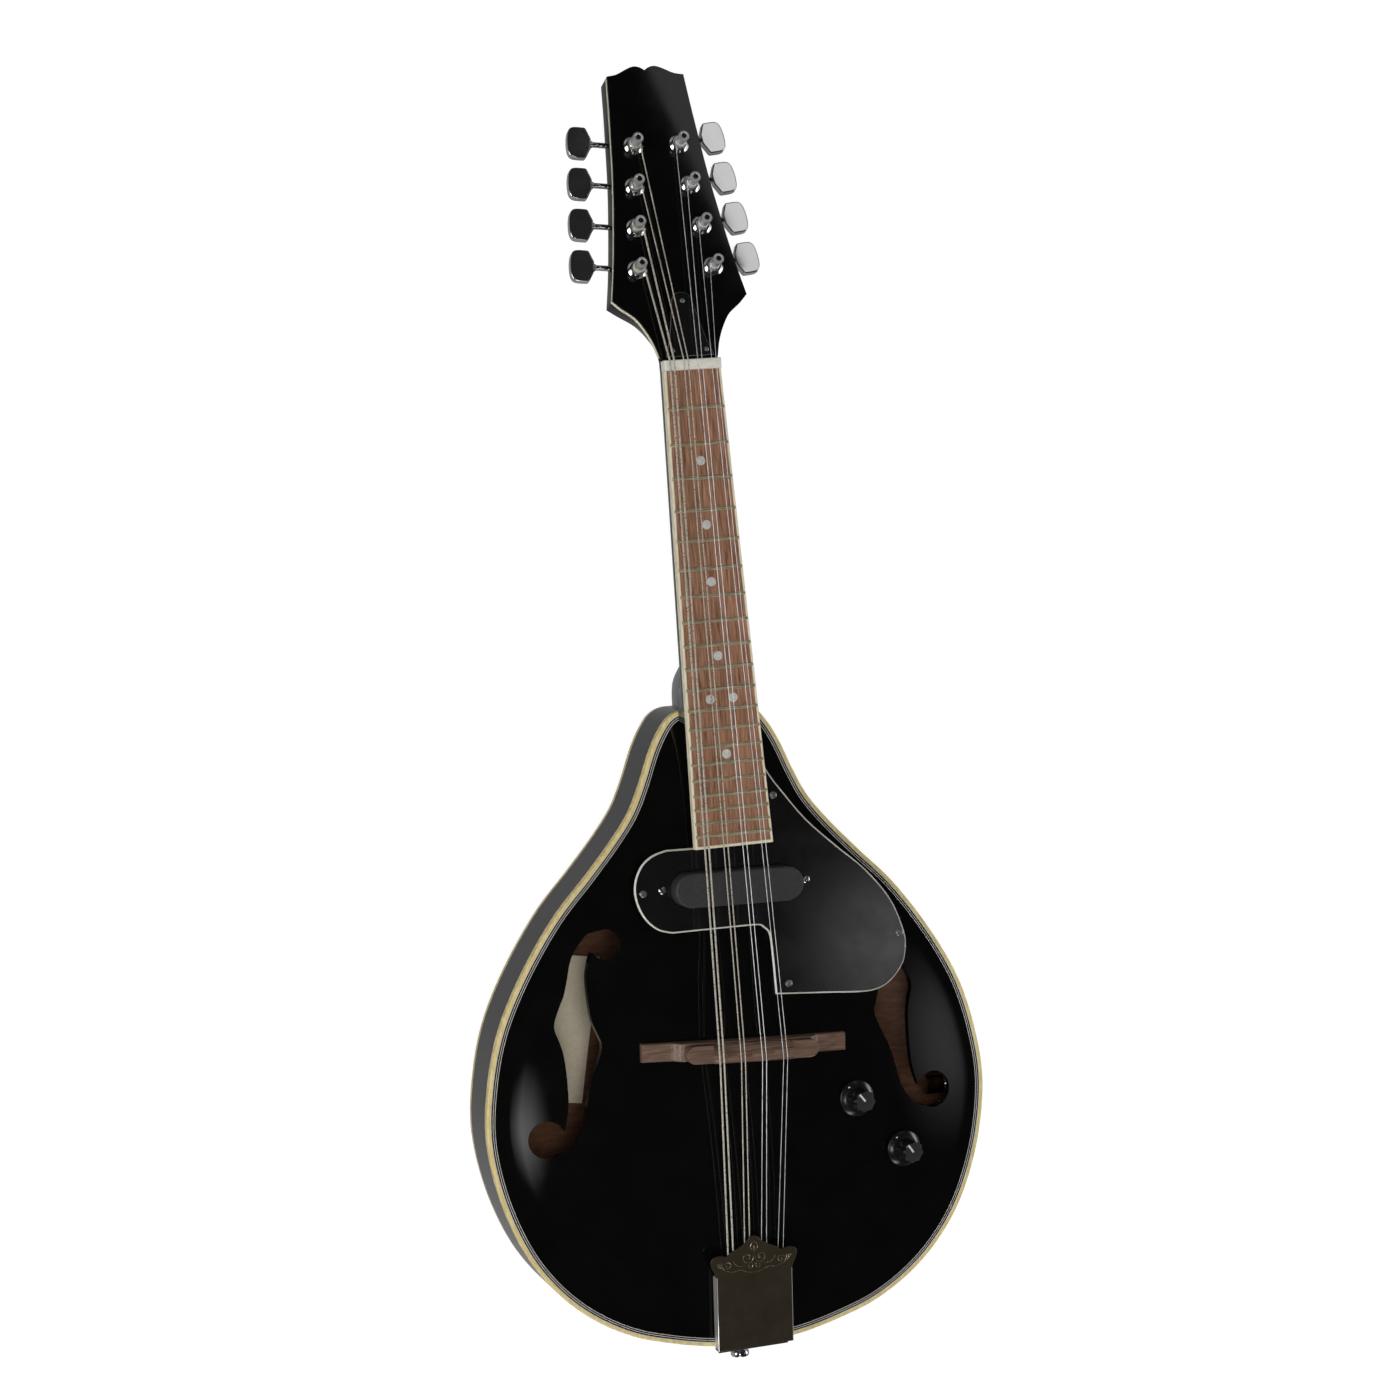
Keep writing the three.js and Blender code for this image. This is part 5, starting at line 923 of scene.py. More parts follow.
# %% Heel
HEEL_REACH, HEEL_FOOT_REACH, HEEL_FOOT_HALF = 36, 20, 11
heel_top = under_board(BODY_TOP_Y + HEEL_REACH)
heel = []
for share in (0, 0.08, 0.16, 0.24, 0.32, 0.4, 0.48, 0.56, 0.66, 0.78, 0.9, 1):
    half_width = tongue_half(BODY_TOP_Y) + (HEEL_FOOT_HALF - tongue_half(BODY_TOP_Y)) * share ** 1.5
    reach = HEEL_REACH + (HEEL_FOOT_REACH - HEEL_REACH) * share + 9 * max(0, 0.5 - share) ** 2
    z = heel_top + (BACK_WOOD - RIM_DEPTH - heel_top) * share
    angles = [math.pi * k / 28 for k in range(29)]
    heel.append([(half_width * math.copysign(abs(math.cos(angle)) ** 0.7, math.cos(angle)),
                  BODY_TOP_Y + 0.05 + reach * abs(math.sin(angle)) ** 0.7, z) for angle in angles])
bm = bmesh.new()
loft(bm, heel)
round_edges(bm, 0.8, 2, where=below(BACK_WOOD + GAP - RIM_DEPTH))
joined.append(make_tool(bm, lacquer, BODY))

# %% [markdown]
# The headstock widens to two points and ends in a shallow double scroll. Its sides are curves that meet in
# real corners, so each stretch is smoothed on its own and then the stretches are joined end to end.

# %% Outline of the headstock
HEAD_HALF, HEAD_LENGTH = 36.4, 169
HEAD_TIP_SHARES = [(0, 0.987), (0.075, 0.997), (0.16, 1), (0.26, 0.993), (0.43, 0.975), (0.577, 0.969)]
HEAD_SIDE_SHARES = [
    (0.577, 0.969), (0.613, 0.864), (0.657, 0.757), (0.709, 0.639), (0.786, 0.509), (0.896, 0.352),
    (1, 0.235),
]
THROAT_SHARES = [(1, 0.235), (0.89, 0.211), (0.695, 0.176), (0.563, 0.13), (0.478, 0.085), (0.42, 0.035)]
head_half = [point for shares in (HEAD_TIP_SHARES, HEAD_SIDE_SHARES, THROAT_SHARES)
             for point in curve_through([(x * HEAD_HALF, y * HEAD_LENGTH) for x, y in shares], 4)[:-1]]


def head_outline(start_y):
    """The whole outline from a given distance in front of the nut."""
    return both_halves([*head_half, Vector((NUT_HALF, start_y))])


# %% Headstock wood with a rebate for its binding
HEAD_WOOD, REBATE_Z, VENEER, HEAD_STRIP = 14.5, -3.75, 1.2, 1.5
THROAT_END_Y = 39.7
bm = bmesh.new()
wood = head_outline(0.5)
narrow = [(point.x * (0.55 + 0.45 * min(max(point.y, 0) / THROAT_END_Y, 1)), point.y, -HEAD_WOOD)
          for point in wood]
face = loft(bm, [narrow, [(point.x, point.y, REBATE_Z) for point in wood]])
frame_face(bm, face, HEAD_STRIP)
pull(bm, face, Matrix.Translation((0, 0, -VENEER - REBATE_Z)))
round_edges(bm, 1.2, 3, where=below(0.1 - HEAD_WOOD))
joined.append(make_tool(bm, lacquer, HEAD))
carve(neck, *joined, operation="UNION")

# %% Seat of the nut, and the pocket under the bell cover
bm = bmesh.new()
block(bm, (-30, 0, NECK_TOP), (30, 5.5, 8))
block(bm, (-4, 8, -13), (4, 26, NECK_TOP - 2))
carve(neck, make_tool(bm, lacquer, BOARD))

# %% Face veneer and its cream binding
VENEER_Y = 6.4
bm = bmesh.new()
slab(bm, head_outline(VENEER_Y), -VENEER, 0)
round_edges(bm, 0.3, 2, where=above(-0.01))
make_piece(bm, "headstock_face", [lacquer], place=HEAD, stands_for=["headplate"])
bm = bmesh.new()
band(bm, head_outline(VENEER_Y), HEAD_STRIP - 0.05, REBATE_Z + 0.05, -VENEER - 0.02)
bmesh.ops.bisect_plane(bm, geom=bm.verts[:] + bm.edges[:] + bm.faces[:], plane_co=(0, VENEER_Y + 1.8, 0),
                       plane_no=(0, -1, 0), clear_outer=True)
bmesh.ops.holes_fill(bm, edges=bm.edges[:])
make_piece(bm, "headstock_edge", [pale_cream], place=HEAD, stands_for=["headstock_binding"])

# %% Cover over the truss rod's nut
BELL_HALF, BELL_LENGTH, BELL_Y, BELL_TOP = 13, 35, 7, 1.9
BELL_SHARES = [
    (0, 1), (0.2, 0.985), (0.36, 0.93), (0.44, 0.84), (0.5, 0.72), (0.62, 0.5), (0.78, 0.25), (1, 0),
]
right = curve_through([(x * BELL_HALF, BELL_Y + y * BELL_LENGTH) for x, y in BELL_SHARES], 4)
bm = bmesh.new()
slab(bm, both_halves(right), 0.05, BELL_TOP)
for face in round_edges(bm, 0.25, 1, where=above(BELL_TOP - 0.1)):
    face.material_index = 1
make_piece(bm, "bell_cover", [black_plastic, grey_line], place=HEAD, stands_for=["truss_rod_cover"])

# %% [markdown]
# ## Small screws
# Screws hold the truss cover, the tuners, the pickguard and the pickup. One function makes a domed head with
# a crossed slot: the dome is a spin, and the cross is one outline with four arms, pulled up and cut out.

# %% One screw for all places
def screws(name, places, radius, metal=chrome):
    """Domed cross-headed screws at the given frames, as one piece."""
    dome = [(0, -0.6), (radius, -0.6), (radius, 0.1), (radius * 0.8, 0.45), (radius * 0.4, 0.62), (0, 0.66)]
    bm = bmesh.new()
    for place in places:
        turn_round(bm, dome, 20, place)
    piece = make_piece(bm, name, [metal])
    bm = bmesh.new()
    arm, wall = radius * 0.6, radius * 0.12
    quarter = [(arm, -wall), (arm, wall), (wall, wall)]
    for place in places:
        cross = [place @ Matrix.Rotation(0.4 + math.pi / 2 * k, 4, "Z") @ Vector((*corner, 0.2))
                 for k in range(4) for corner in quarter]
        pull(bm, flat_face(bm, cross), Matrix.Translation(place.to_3x3() @ Vector((0, 0, 1))))
    return carve(piece, make_tool(bm, black_plastic))


BELL_SCREWS = [(0.3, 37.2), (9.2, 10.3), (-9, 10.3)]
screws("cover_screws", [HEAD @ Matrix.Translation((x, y, BELL_TOP)) for x, y in BELL_SCREWS], 1.3, dark_screw)

# %% [markdown]
# ## Tuners
# Four posts on each side stand in chrome ferrules. Under the headstock a steel plate holds a worm for each
# post, and the button outside turns the worm. The post carries a gear of sixteen teeth, so sixteen turns of
# the button make one turn of the post. Each button and each post is a piece of its own, because each turns
# on its own joint.

# %% Ferrules
POST_YS = [0, 23, 46, 69]
FERRULE = [(3.1, -1.1), (5.2, -1.1), (5.2, 0.35), (5.0, 0.6), (4.5, 1.1), (4.1, 1.6), (3.7, 1.78), (3.1, 1.7),
           (3.1, -1.1)]
bm = bmesh.new()
for row in ROWS.values():
    for y in POST_YS:
        turn_round(bm, FERRULE, 32, row @ Matrix.Translation((0, y, 0)))
make_piece(bm, "post_ferrules", [chrome])


# %% Gears and other toothed outlines
def toothed(radii, teeth):
    """A round outline that runs through the same few radii for each tooth."""
    count = len(radii) * teeth
    return [(math.cos(math.tau * k / count) * radius, math.sin(math.tau * k / count) * radius)
            for k, radius in zip(range(count), radii * teeth)]


gear_outline = toothed((4.6, 4.5, 3.8, 4.5), 16)
print(len(gear_outline), "points round a gear")

# %% Posts with their gears
PLATE_TOP = -HEAD_WOOD
PLATE_LOW = PLATE_TOP - 1.35
GEAR_TOP = PLATE_TOP - 1.8
# Radius and height of each post's hollow tip, whose inside is painted black as painted shade.
POST_SHADED_HOLLOW, POST_TIP = 1.42, 9.4
POST = [(0, GEAR_TOP - 2.9), (2.0, GEAR_TOP - 2.9), (2.9, GEAR_TOP - 2.2), (2.9, 2.2), (2.75, 2.5),
        (2.3, 2.9), (2.25, 5.6), (2.35, 8.0), (2.8, 8.6), (2.9, 8.9), (2.9, 10.4), (2.75, 10.8), (2.4, 11),
        (1.7, 11), (1.45, 10.8), (1.35, 9.6), (0, 9.5)]
for word, row in ROWS.items():
    for number, y in enumerate(POST_YS, 1):
        bm = bmesh.new()
        turn_round(bm, POST, 28)
        before = len(bm.faces)
        slab(bm, gear_outline, GEAR_TOP - 2.8, GEAR_TOP - 0.1)
        bm.faces.ensure_lookup_table()
        for face in bm.faces[before:]:
            face.material_index = 1
        # Faces inside the hollow tip take the black fibre: painted shade in the hollow.
        for face in bm.faces:
            middle = face.calc_center_median()
            if middle.z > POST_TIP and middle.xy.length < POST_SHADED_HOLLOW:
                face.material_index = 2
        make_piece(bm, f"{word}_string_post_{number}", [post_chrome, brass, black_line],
                   place=row @ Matrix.Translation((0, y, 0)), body=f"{word}_post_{number}",
                   stands_for=[f"{word}_post_{number}"])

# %% Buttons with their worms
WORM_Z = GEAR_TOP - 1.5
WORM_Y = 6.7
BUTTON_SHOULDER = [Vector((18.9, 2.6)), Vector((21.6, 8.3))]
BUTTON_END = [(22.4, 8.65), (27.4, 8.65), (29.9, 7.9), (31.2, 5.9), (31.75, 3), (31.9, 0)]
BUTTON_THICKNESS = 4.6
far_side = [*BUTTON_SHOULDER, *curve_through(BUTTON_END, 4)]
button_outline = [*far_side, *[Vector((point.x, -point.y)) for point in reversed(far_side[:-1])]]
THREAD = [(1.7 if k % 2 else 1.25, -3.8 + 0.38 * k) for k in range(21)]
SHAFT = [(0, -5.8), (1.5, -5.8), (1.5, -4.1), *THREAD, (1.5, 4.1), (1.5, 17.6), (2.0, 18.2), (2.1, 19.6),
         (0, 19.6)]
END_SCREW = [(0, 30.6), (1.7, 30.6), (1.7, 31.3), (1.4, 31.7), (0.6, 31.85), (0, 31.88)]
sideways = Matrix.Rotation(math.pi / 2, 4, "Y")
for word, row in ROWS.items():
    flip = Matrix.Rotation(math.pi if word == "bass" else 0, 4, "Z")
    for number, y in enumerate(POST_YS, 1):
        bm = bmesh.new()
        slab(bm, button_outline, -BUTTON_THICKNESS / 2, BUTTON_THICKNESS / 2)
        round_edges(bm, 0.7, 3, angle=30)
        turn_round(bm, SHAFT, 20, sideways)
        turn_round(bm, END_SCREW, 20, sideways)
        make_piece(bm, f"{word}_button_and_worm_{number}", [chrome],
                   place=row @ Matrix.Translation((0, y + WORM_Y, WORM_Z)) @ flip,
                   body=f"{word}_button_{number}", stands_for=[f"{word}_tuner_button_{number}"])

# %% Tuner plates with their ears and screws
PLATE_HALF, EAR_WALL, EAR_HALF = 7, 1.4, 3
upright = Matrix(((0, 0, 1, 0), (1, 0, 0, 0), (0, 1, 0, 0), (0, 0, 0, 1)))
down = Matrix.Rotation(math.pi, 4, "X")
for word, row in ROWS.items():
    bm = bmesh.new()
    ends = [*arc((0, 73), PLATE_HALF, 0, 180, 16), *arc((0, -4), PLATE_HALF, 180, 360, 16)]
    slab(bm, ends, PLATE_LOW, PLATE_TOP - GAP)
    round_edges(bm, 0.25, 1)
    plate = make_piece(bm, f"{word}_plate_with_ears", [nickel], place=row, stands_for=[f"{word}_tuner_plate"])
    ears, holes = bmesh.new(), bmesh.new()
    for y in POST_YS:
        axle_y = y + WORM_Y
        for side in (-1, 1):
            ear = [(axle_y - EAR_HALF, PLATE_TOP - 1), (axle_y + EAR_HALF, PLATE_TOP - 1),
                   *arc((axle_y, WORM_Z - 1.1), EAR_HALF, 0, -180, 12)]
            face = flat_face(ears, [upright @ Vector((*point, side * 5 - EAR_WALL / 2)) for point in ear])
            pull(ears, face, Matrix.Translation((EAR_WALL, 0, 0)))
        rod(holes, 1.6, -9, 9, 16, Matrix.Translation((0, axle_y, WORM_Z)) @ sideways)
        rod(holes, 3.1, -18, -12, 20, Matrix.Translation((0, y, 0)))
    carve(plate, make_tool(ears, nickel, row), operation="UNION")
    carve(plate, make_tool(holes, nickel, row))
    screws(f"{word}_plate_screws", [row @ Matrix.Translation((0, y, PLATE_LOW)) @ down
                                    for y in (-7, 16.6, 39.6, 62.6, 76)], 1.5)

# %% [markdown]
# ## Bridge
# The bridge is two pieces of rosewood. The foot follows the arch of the top and rises to a flat deck in the
# middle. The saddle rides on two thumbwheels and has a crest that steps forwards and back, so that each
# course of strings sounds in tune. Wheels turn on threaded studs to set the height.

# %% Foot
FOOT_HALF_LENGTH, FOOT_HALF = 55.5, 4.75
DECK_Z, DECK_HALF_LENGTH, WING = 19.6, 39.5, 3.5


def top_under_bridge(x, y):
    """Height of the soundboard below a point of the bridge."""
    return top_height(*(BODY.inverted() @ BRIDGE @ Vector((x, y, 0))).xy)


def foot_level(x):
    """Top of the foot: thin wings that sweep up to the deck."""
    wing = top_under_bridge(x, 0) + WING
    rise = min(max((DECK_HALF_LENGTH - abs(x)) / 4.5, 0), 1)
    return wing + (DECK_Z - wing) * rise * rise * (3 - 2 * rise)


sections = []
for step in range(75):
    x = -FOOT_HALF_LENGTH + 1.5 * step
    level = foot_level(x)
    under = [(x, y, top_under_bridge(x, y) + 0.02) for y in (-FOOT_HALF, 0, FOOT_HALF)]
    shoulder = ((FOOT_HALF, 0.7), (FOOT_HALF - 0.3, 0.2), (FOOT_HALF - 0.8, 0))
    over = [(x, y, level - drop) for y, drop in shoulder]
    sections.append([*under, *over, *[(x, -y, z) for x, y, z in reversed(over)]])
bm = bmesh.new()
loft(bm, sections)
make_piece(bm, "bridge_foot", [bridge_wood], place=BRIDGE, stands_for=["bridge_base"],
           smooth=50)

# %% Studs and thumbwheels
STUD_X = 28.5
stud_places = {"bass": Matrix.Translation((-STUD_X, 0, 0)), "treble": Matrix.Translation((STUD_X, 0, 0))}
STUD_THREAD = [(1.5 if k % 2 else 1.25, 18.6 + 0.3 * k) for k in range(26)]
bm = bmesh.new()
for place in stud_places.values():
    turn_round(bm, [(0, 18.3), *STUD_THREAD, (0, 26.4)], 16, place)
make_piece(bm, "bridge_studs", [brass], place=BRIDGE)
for word, place in stud_places.items():
    bm = bmesh.new()
    slab(bm, toothed((4.4, 4.1), 48), 21.5, 23.5)
    round_edges(bm, 0.2, 1, where=lambda edge: abs(edge.verts[0].co.z - edge.verts[1].co.z) < 0.01)
    wheel = make_piece(bm, f"{word}_thumbwheel", [brass], place=BRIDGE @ place, body=f"{word}_bridge_wheel",
                       stands_for=[f"{word}_bridge_wheel"])
    carve(wheel, drill(1.7, 20, 25, brass, BRIDGE @ place, 20))

# %% Saddle with a stepped crest
SADDLE_HALF, SADDLE_LOW, CREST_Z, CREST_END = 4.7, 23.9, 31.8, 21.6
CREST_STEPS = [
    (-CREST_END, 0.0), (-15.0, 0.0), (-14.4, 1.5), (-9.6, 1.5), (-9.0, 0.5), (-1.4, 0.5), (-0.8, 1.9),
    (5.0, 1.9), (5.6, 1.0), (10.6, 1.0), (11.2, 2.2), (CREST_END, 2.2),
]
bm = bmesh.new()
slab(bm, stadium(31, SADDLE_HALF, 20), SADDLE_LOW, CREST_Z - 2)
round_edges(bm, 0.5, 2)
saddle = make_piece(bm, "bridge_saddle_bar", [bridge_wood], place=BRIDGE, body="bridge_saddle",
                    stands_for=["bridge_saddle"])
carve(saddle, box_tool((-CREST_END, -8, SADDLE_LOW + 2), (CREST_END, 8, 34), bridge_wood, BRIDGE))
bm = bmesh.new()
loft(bm, [[(x, -SADDLE_HALF, 25.5), (x, SADDLE_HALF, 25.5), (x, SADDLE_HALF, 27.6),
           (x, 2.2 + step * 0.3, 28.6), (x, step - 2.2, 31.2), (x, step - 2.7, CREST_Z), (x, -4.1, CREST_Z),
           (x, -SADDLE_HALF, 31.2)] for x, step in CREST_STEPS])
carve(saddle, make_tool(bm, bridge_wood, BRIDGE), operation="UNION")
carve(saddle, *[drill(1.8, 22, 28.4, bridge_wood, BRIDGE @ place, 20) for place in stud_places.values()])

# %% [markdown]
# ## Strings
# Each string is one rod: from its hook over the saddle and the nut to two neat turns round its post. The
# path is worked out in the frames above, so the string meets every piece it touches.

# %% Paths of the strings
POST_WAIST, COIL_TURNS, COIL_STEPS = 2.3, 2, 24
COIL_Z = 2.7
HOOK_Y, HOOK_Z = 27.3, 8.93


def string_path(i):
    """Points of string i in the whole instrument's millimetres."""
    radius = STRING_RADII[i]
    word, turn, order = ("bass", 1, i) if i < 4 else ("treble", -1, 7 - i)
    row, post_y = ROWS[word], POST_YS[order]
    hook = TAIL @ Vector((tail_x[i], HOOK_Y + radius, HOOK_Z))
    crest = BRIDGE @ Vector((saddle_x[i], -3.4, CREST_Z + radius))
    nut_front, nut_back = (BOARD @ Vector((nut_x[i], y, NUT_HEIGHT)) for y in (0.3, 5.3))
    start = row.inverted() @ nut_back
    reach = Vector((-start.x, post_y - start.y))
    wind = POST_WAIST + 0.1 + radius
    heading = math.atan2(reach.y, reach.x) - turn * math.asin(wind / reach.length)
    first, pitch = heading - turn * math.pi / 2, 2 * radius + 0.45
    coil = []
    for step in range(COIL_TURNS * COIL_STEPS + 1):
        angle = first + turn * math.tau * step / COIL_STEPS
        coil.append(row @ Vector((wind * math.cos(angle), post_y + wind * math.sin(angle),
                                  COIL_Z + radius + pitch * step / COIL_STEPS)))
    return [hook, crest, nut_front, nut_back, *coil]


for i in range(8):
    bm = bmesh.new()
    tube(bm, string_path(i), STRING_RADII[i], 12)
    make_piece(bm, f"string_of_course_{i // 2 + 1}_{'ab'[i % 2]}", [wrapped if i < 4 else plain_steel],
               stands_for=[f"string_{i + 1}"], smooth=60)

# %% [markdown]
# ## Tailpiece
# A bent plate is held to the tail by the end pin, and its hooks take the loops of the strings. A cover of
# dark chrome slides over it. The cover's front is cut in a crown with two ears, its long sides and end are
# bright metal whose near-white colour is partly a painted highlight, and a plain scroll is engraved under
# the crown. The engraving is a set of fine raised lines, half sunk in the plate.

# %% Base with hooks
BASE_LENGTH, BASE_RISE, BASE_Z, BEND_Y = 45.5, 6.5, 0.8, -1.5
ROOT_Y = 26.2
base_level = lambda y: BASE_Z + BASE_RISE * (y - BEND_Y) / BASE_LENGTH
tilt = Matrix.Translation((0, BEND_Y, BASE_Z)) @ Matrix.Rotation(math.atan2(BASE_RISE, BASE_LENGTH), 4, "X")
bm = bmesh.new()
block(bm, (-19.3, 0.15, 0), (19.3, 45.8, 1.2), tilt)
block(bm, (-13, BEND_Y, -33.2), (13, -0.3, 1.3))
round_edges(bm, 0.25, 1)
base = make_piece(bm, "tailpiece_plate", [nickel], place=TAIL, stands_for=["tailpiece_base"])
bm = bmesh.new()
root_z = base_level(ROOT_Y) + 0.6
for x in tail_x:
    hook = [(x, ROOT_Y, root_z), (x, ROOT_Y, root_z + 2.6), (x, ROOT_Y - 0.5, root_z + 3.3),
            (x, ROOT_Y - 1.3, root_z + 3.6)]
    tube(bm, hook, [0.75, 0.75, 0.75, 0.5], 10)
carve(base, make_tool(bm, nickel, TAIL), operation="UNION")
carve(base, drill(PIN_BORE + GAP, -6, 6, nickel, pin_place))

# %% Cover
CROWN_SHARES = [
    (0, 1), (0.085, 0.99), (0.16, 0.957), (0.32, 0.912), (0.49, 0.882), (0.63, 0.845), (0.72, 0.853),
    (0.81, 0.859), (0.93, 0.847), (0.99, 0.814), (0.98, 0.764), (0.91, 0.705),
]
COVER_LENGTH, COVER_HALF, CROWN_HALF = 61.4, 20.8, 23.9
COVER_Y, COVER_LOW, COVER_HIGH = 0.8, 7.5, 17
SLOPE = (COVER_HIGH - COVER_LOW) / COVER_LENGTH
NECK_SHARE = 0.664
front_y = COVER_Y + NECK_SHARE * COVER_LENGTH
lean = Matrix(((1, 0, 0, 0), (0, 1, 0, 0), (0, SLOPE, 1, COVER_LOW - SLOPE * COVER_Y), (0, 0, 0, 1)))
crown = curve_through([(x * CROWN_HALF, COVER_Y + y * COVER_LENGTH) for x, y in CROWN_SHARES], 5)
bm = bmesh.new()
slab(bm, both_halves([*crown, Vector((COVER_HALF, front_y)), Vector((COVER_HALF, COVER_Y))]), -1, 0)
# Bevels on the long sides take the bright edge metal, whose near-white colour is partly a painted highlight.
for face in round_edges(bm, 0.42, 2, angle=60, where=above(-0.01)):
    middle = face.calc_center_median()
    on_long_side = abs(middle.x) > COVER_HALF - 0.4 and middle.y < 0.66 * COVER_LENGTH
    face.material_index = 1 if on_long_side else 0
bmesh.ops.transform(bm, matrix=lean, verts=bm.verts[:])
make_piece(bm, "tailpiece_cover_plate", [bronze_plate, edge_metal_with_painted_highlight], place=TAIL, body="tailpiece_cover",
           stands_for=["tailpiece_cover"], smooth=50)

# %% Sides and end of the cover
WALL, WALL_HALF, WALL_DROP = 1, 20.75, 0.6
low_z, high_z = COVER_LOW - WALL_DROP, COVER_LOW + SLOPE * (front_y - COVER_Y) - WALL_DROP
profile = [(COVER_Y, low_z), (front_y, high_z), (front_y, base_level(front_y)),
           (COVER_Y, base_level(COVER_Y))]
bm = bmesh.new()
for x in (-WALL_HALF, WALL_HALF - WALL):
    face = flat_face(bm, [(x, y, z) for y, z in profile])
    pull(bm, face, Matrix.Translation((WALL, 0, 0)))
block(bm, (-WALL_HALF, COVER_Y + 0.02, 2.6), (WALL_HALF, COVER_Y + 0.02 + WALL, low_z))
# The sides and end are the bright edge metal too; their near-white colour is partly a painted reflection.
make_piece(bm, "tailpiece_cover_sides", [edge_metal_with_painted_highlight], place=TAIL, body="tailpiece_cover")

# %% Scroll engraved on the cover
LINE_Z = 0.05
SPIRALS = [(3.7, 50.4, 1.4, 2.8, 3.4), (2.3, 45.9, 1.2, 0.6, 2.1), (14.6, 47.4, 1.1, 0.4, 2.3)]
CURLS = [
    [(0.3, 42.2), (3.4, 42.6), (8, 44.4), (12, 43.8), (17.4, 45.6)],
    [(5.2, 46.4), (8.4, 46.6), (10.8, 48.2), (11.6, 50.2)],
    [(0.9, 54.4), (2, 56.2), (1.2, 58), (0, 59.2)],
]
FEATHERS = [[(16.4 + 1.1 * k, 45.6 + 0.5 * k), (17.6 + 1.1 * k, 47.4 + 0.4 * k), (18.0 + 1.1 * k, 49.4)]
            for k in range(3)]


def spiral(x, y, turns, start, size):
    """A closing spiral on the cover's face."""
    points = []
    for step in range(25):
        share = step / 24
        angle = start + share * turns * math.tau
        radius = size * (1 - 0.8 * share)
        points.append(Vector((x + radius * math.cos(angle), y + radius * math.sin(angle))))
    return points


lines = [spiral(*values) for values in SPIRALS] + [curve_through(curl, 6) for curl in (*CURLS, *FEATHERS)]
bm = bmesh.new()
for side in (-1, 1):
    for line in lines:
        widths = [0.08 + 0.17 * math.sin(math.pi * k / (len(line) - 1)) for k in range(len(line))]
        tube(bm, [(side * point.x, point.y, LINE_Z) for point in line], widths, 6)
tube(bm, [(0, y, LINE_Z) for y in (52.6, 54, 55.5, 57)], [0.08, 0.3, 0.3, 0.05], 6)
bmesh.ops.transform(bm, matrix=lean, verts=bm.verts[:])
make_piece(bm, "cover_scrollwork", [engraved], place=TAIL, body="tailpiece_cover")

# %% End pin
PIN = [(0, 12.2), (3.6, 12.2), (4.6, 11.9), (5, 11.2), (5, 10), (4.7, 9.2), (4.0, 8.2), (3.45, 6.8), (3.5, 5),
       (4.2, 3.6), (4.9, 2.9), (5, 2.2), (5, 1.7), (3, 1.6), (3, -18), (0, -18)]
bm = bmesh.new()
turn_round(bm, PIN, 32)
make_piece(bm, "strap_end_pin", [chrome], place=pin_place, stands_for=["end_pin"])

# %% Output jack and its nut
FACE_X = 136.95
JACK_LENGTH, JACK_HOLE = 26, 3.25
JACK = [(JACK_HOLE, 2.15), (4.0, 2.15), (4.2, 1.9), (4.2, 1.0), (8.6, 0.9), (9, 0.6), (9, 0), (5.6, 0),
        (5.6, -JACK_LENGTH), (0, -JACK_LENGTH), (0, 2 - JACK_LENGTH), (JACK_HOLE, 2 - JACK_LENGTH),
        (JACK_HOLE, 2.15)]
bm = bmesh.new()
turn_round(bm, [(radius, FACE_X + out) for radius, out in JACK], 40)
make_piece(bm, "jack_socket", [chrome], place=jack_place, stands_for=["output_jack"])
bm = bmesh.new()
slab(bm, arc((0, 0), 7.2, 0, 300, 5), FACE_X + 0.95, FACE_X + 1.9)
round_edges(bm, 0.2, 1)
jack_nut = make_piece(bm, "jack_nut", [chrome], place=jack_place)
carve(jack_nut, drill(4.25, FACE_X, FACE_X + 3, chrome, jack_place, 32))

# %% [markdown]
# ## Pickguard and pickup
# The guard is a plate of layered plastic on four pillars: black on top with a white core that shows along
# its bevelled edge. The pickup comes up through a window in it. Its case is cast in a rough grey resin.

# %% Outline of the guard
GUARD_CORNER = (-52.9, 19)
GUARD_WIDTH, GUARD_LENGTH = 146.2, 125.3
GUARD_TREBLE_SHARES = [
    (0.507, 1), (0.528, 0.954), (0.566, 0.888), (0.653, 0.753), (0.759, 0.63), (0.865, 0.515), (0.953, 0.377),
    (0.996, 0.236), (0.999, 0.176), (0.99, 0.119), (0.969, 0.077), (0.941, 0.042), (0.904, 0.013), (0.86, 0),
    (0.806, 0), (0.693, 0.013),
]
GUARD_STEP_SHARES = [
    (0.493, 0.034), (0.49, 0.176), (0.487, 0.263), (0.481, 0.298), (0.465, 0.318), (0.445, 0.331),
    (0.367, 0.334),
]
GUARD_WING_SHARES = [
    (0.129, 0.337), (0.08, 0.354), (0.04, 0.393), (0.014, 0.444), (0.001, 0.498), (0, 0.545), (0.011, 0.591),
    (0.035, 0.636), (0.075, 0.669), (0.126, 0.685),
]
GUARD_SCREW_SHARES = [(0.031, 0.514), (0.535, 0.866), (0.976, 0.233), (0.544, 0.074)]


def on_guard(share_x, share_y):
    return GUARD_CORNER[0] + share_x * GUARD_WIDTH, GUARD_CORNER[1] + share_y * GUARD_LENGTH


guard_end_y = on_guard(0.507, 1)[1]
wing_y = min(on_guard(0, 0.6815)[1], tongue_end - 1.1)
beside = lambda y: tongue_half(y) + 0.4
guard_outline = [tuple(point) for shares in (GUARD_TREBLE_SHARES, GUARD_STEP_SHARES, GUARD_WING_SHARES)
                 for point in curve_through([on_guard(*share) for share in shares], 4)]
guard_outline += [(on_guard(0.228, 0)[0], wing_y), (beside(tongue_end), wing_y),
                  (min(beside(guard_end_y), on_guard(0.507, 1)[0] - 0.3), guard_end_y)]
print(len(guard_outline), "points round the guard")

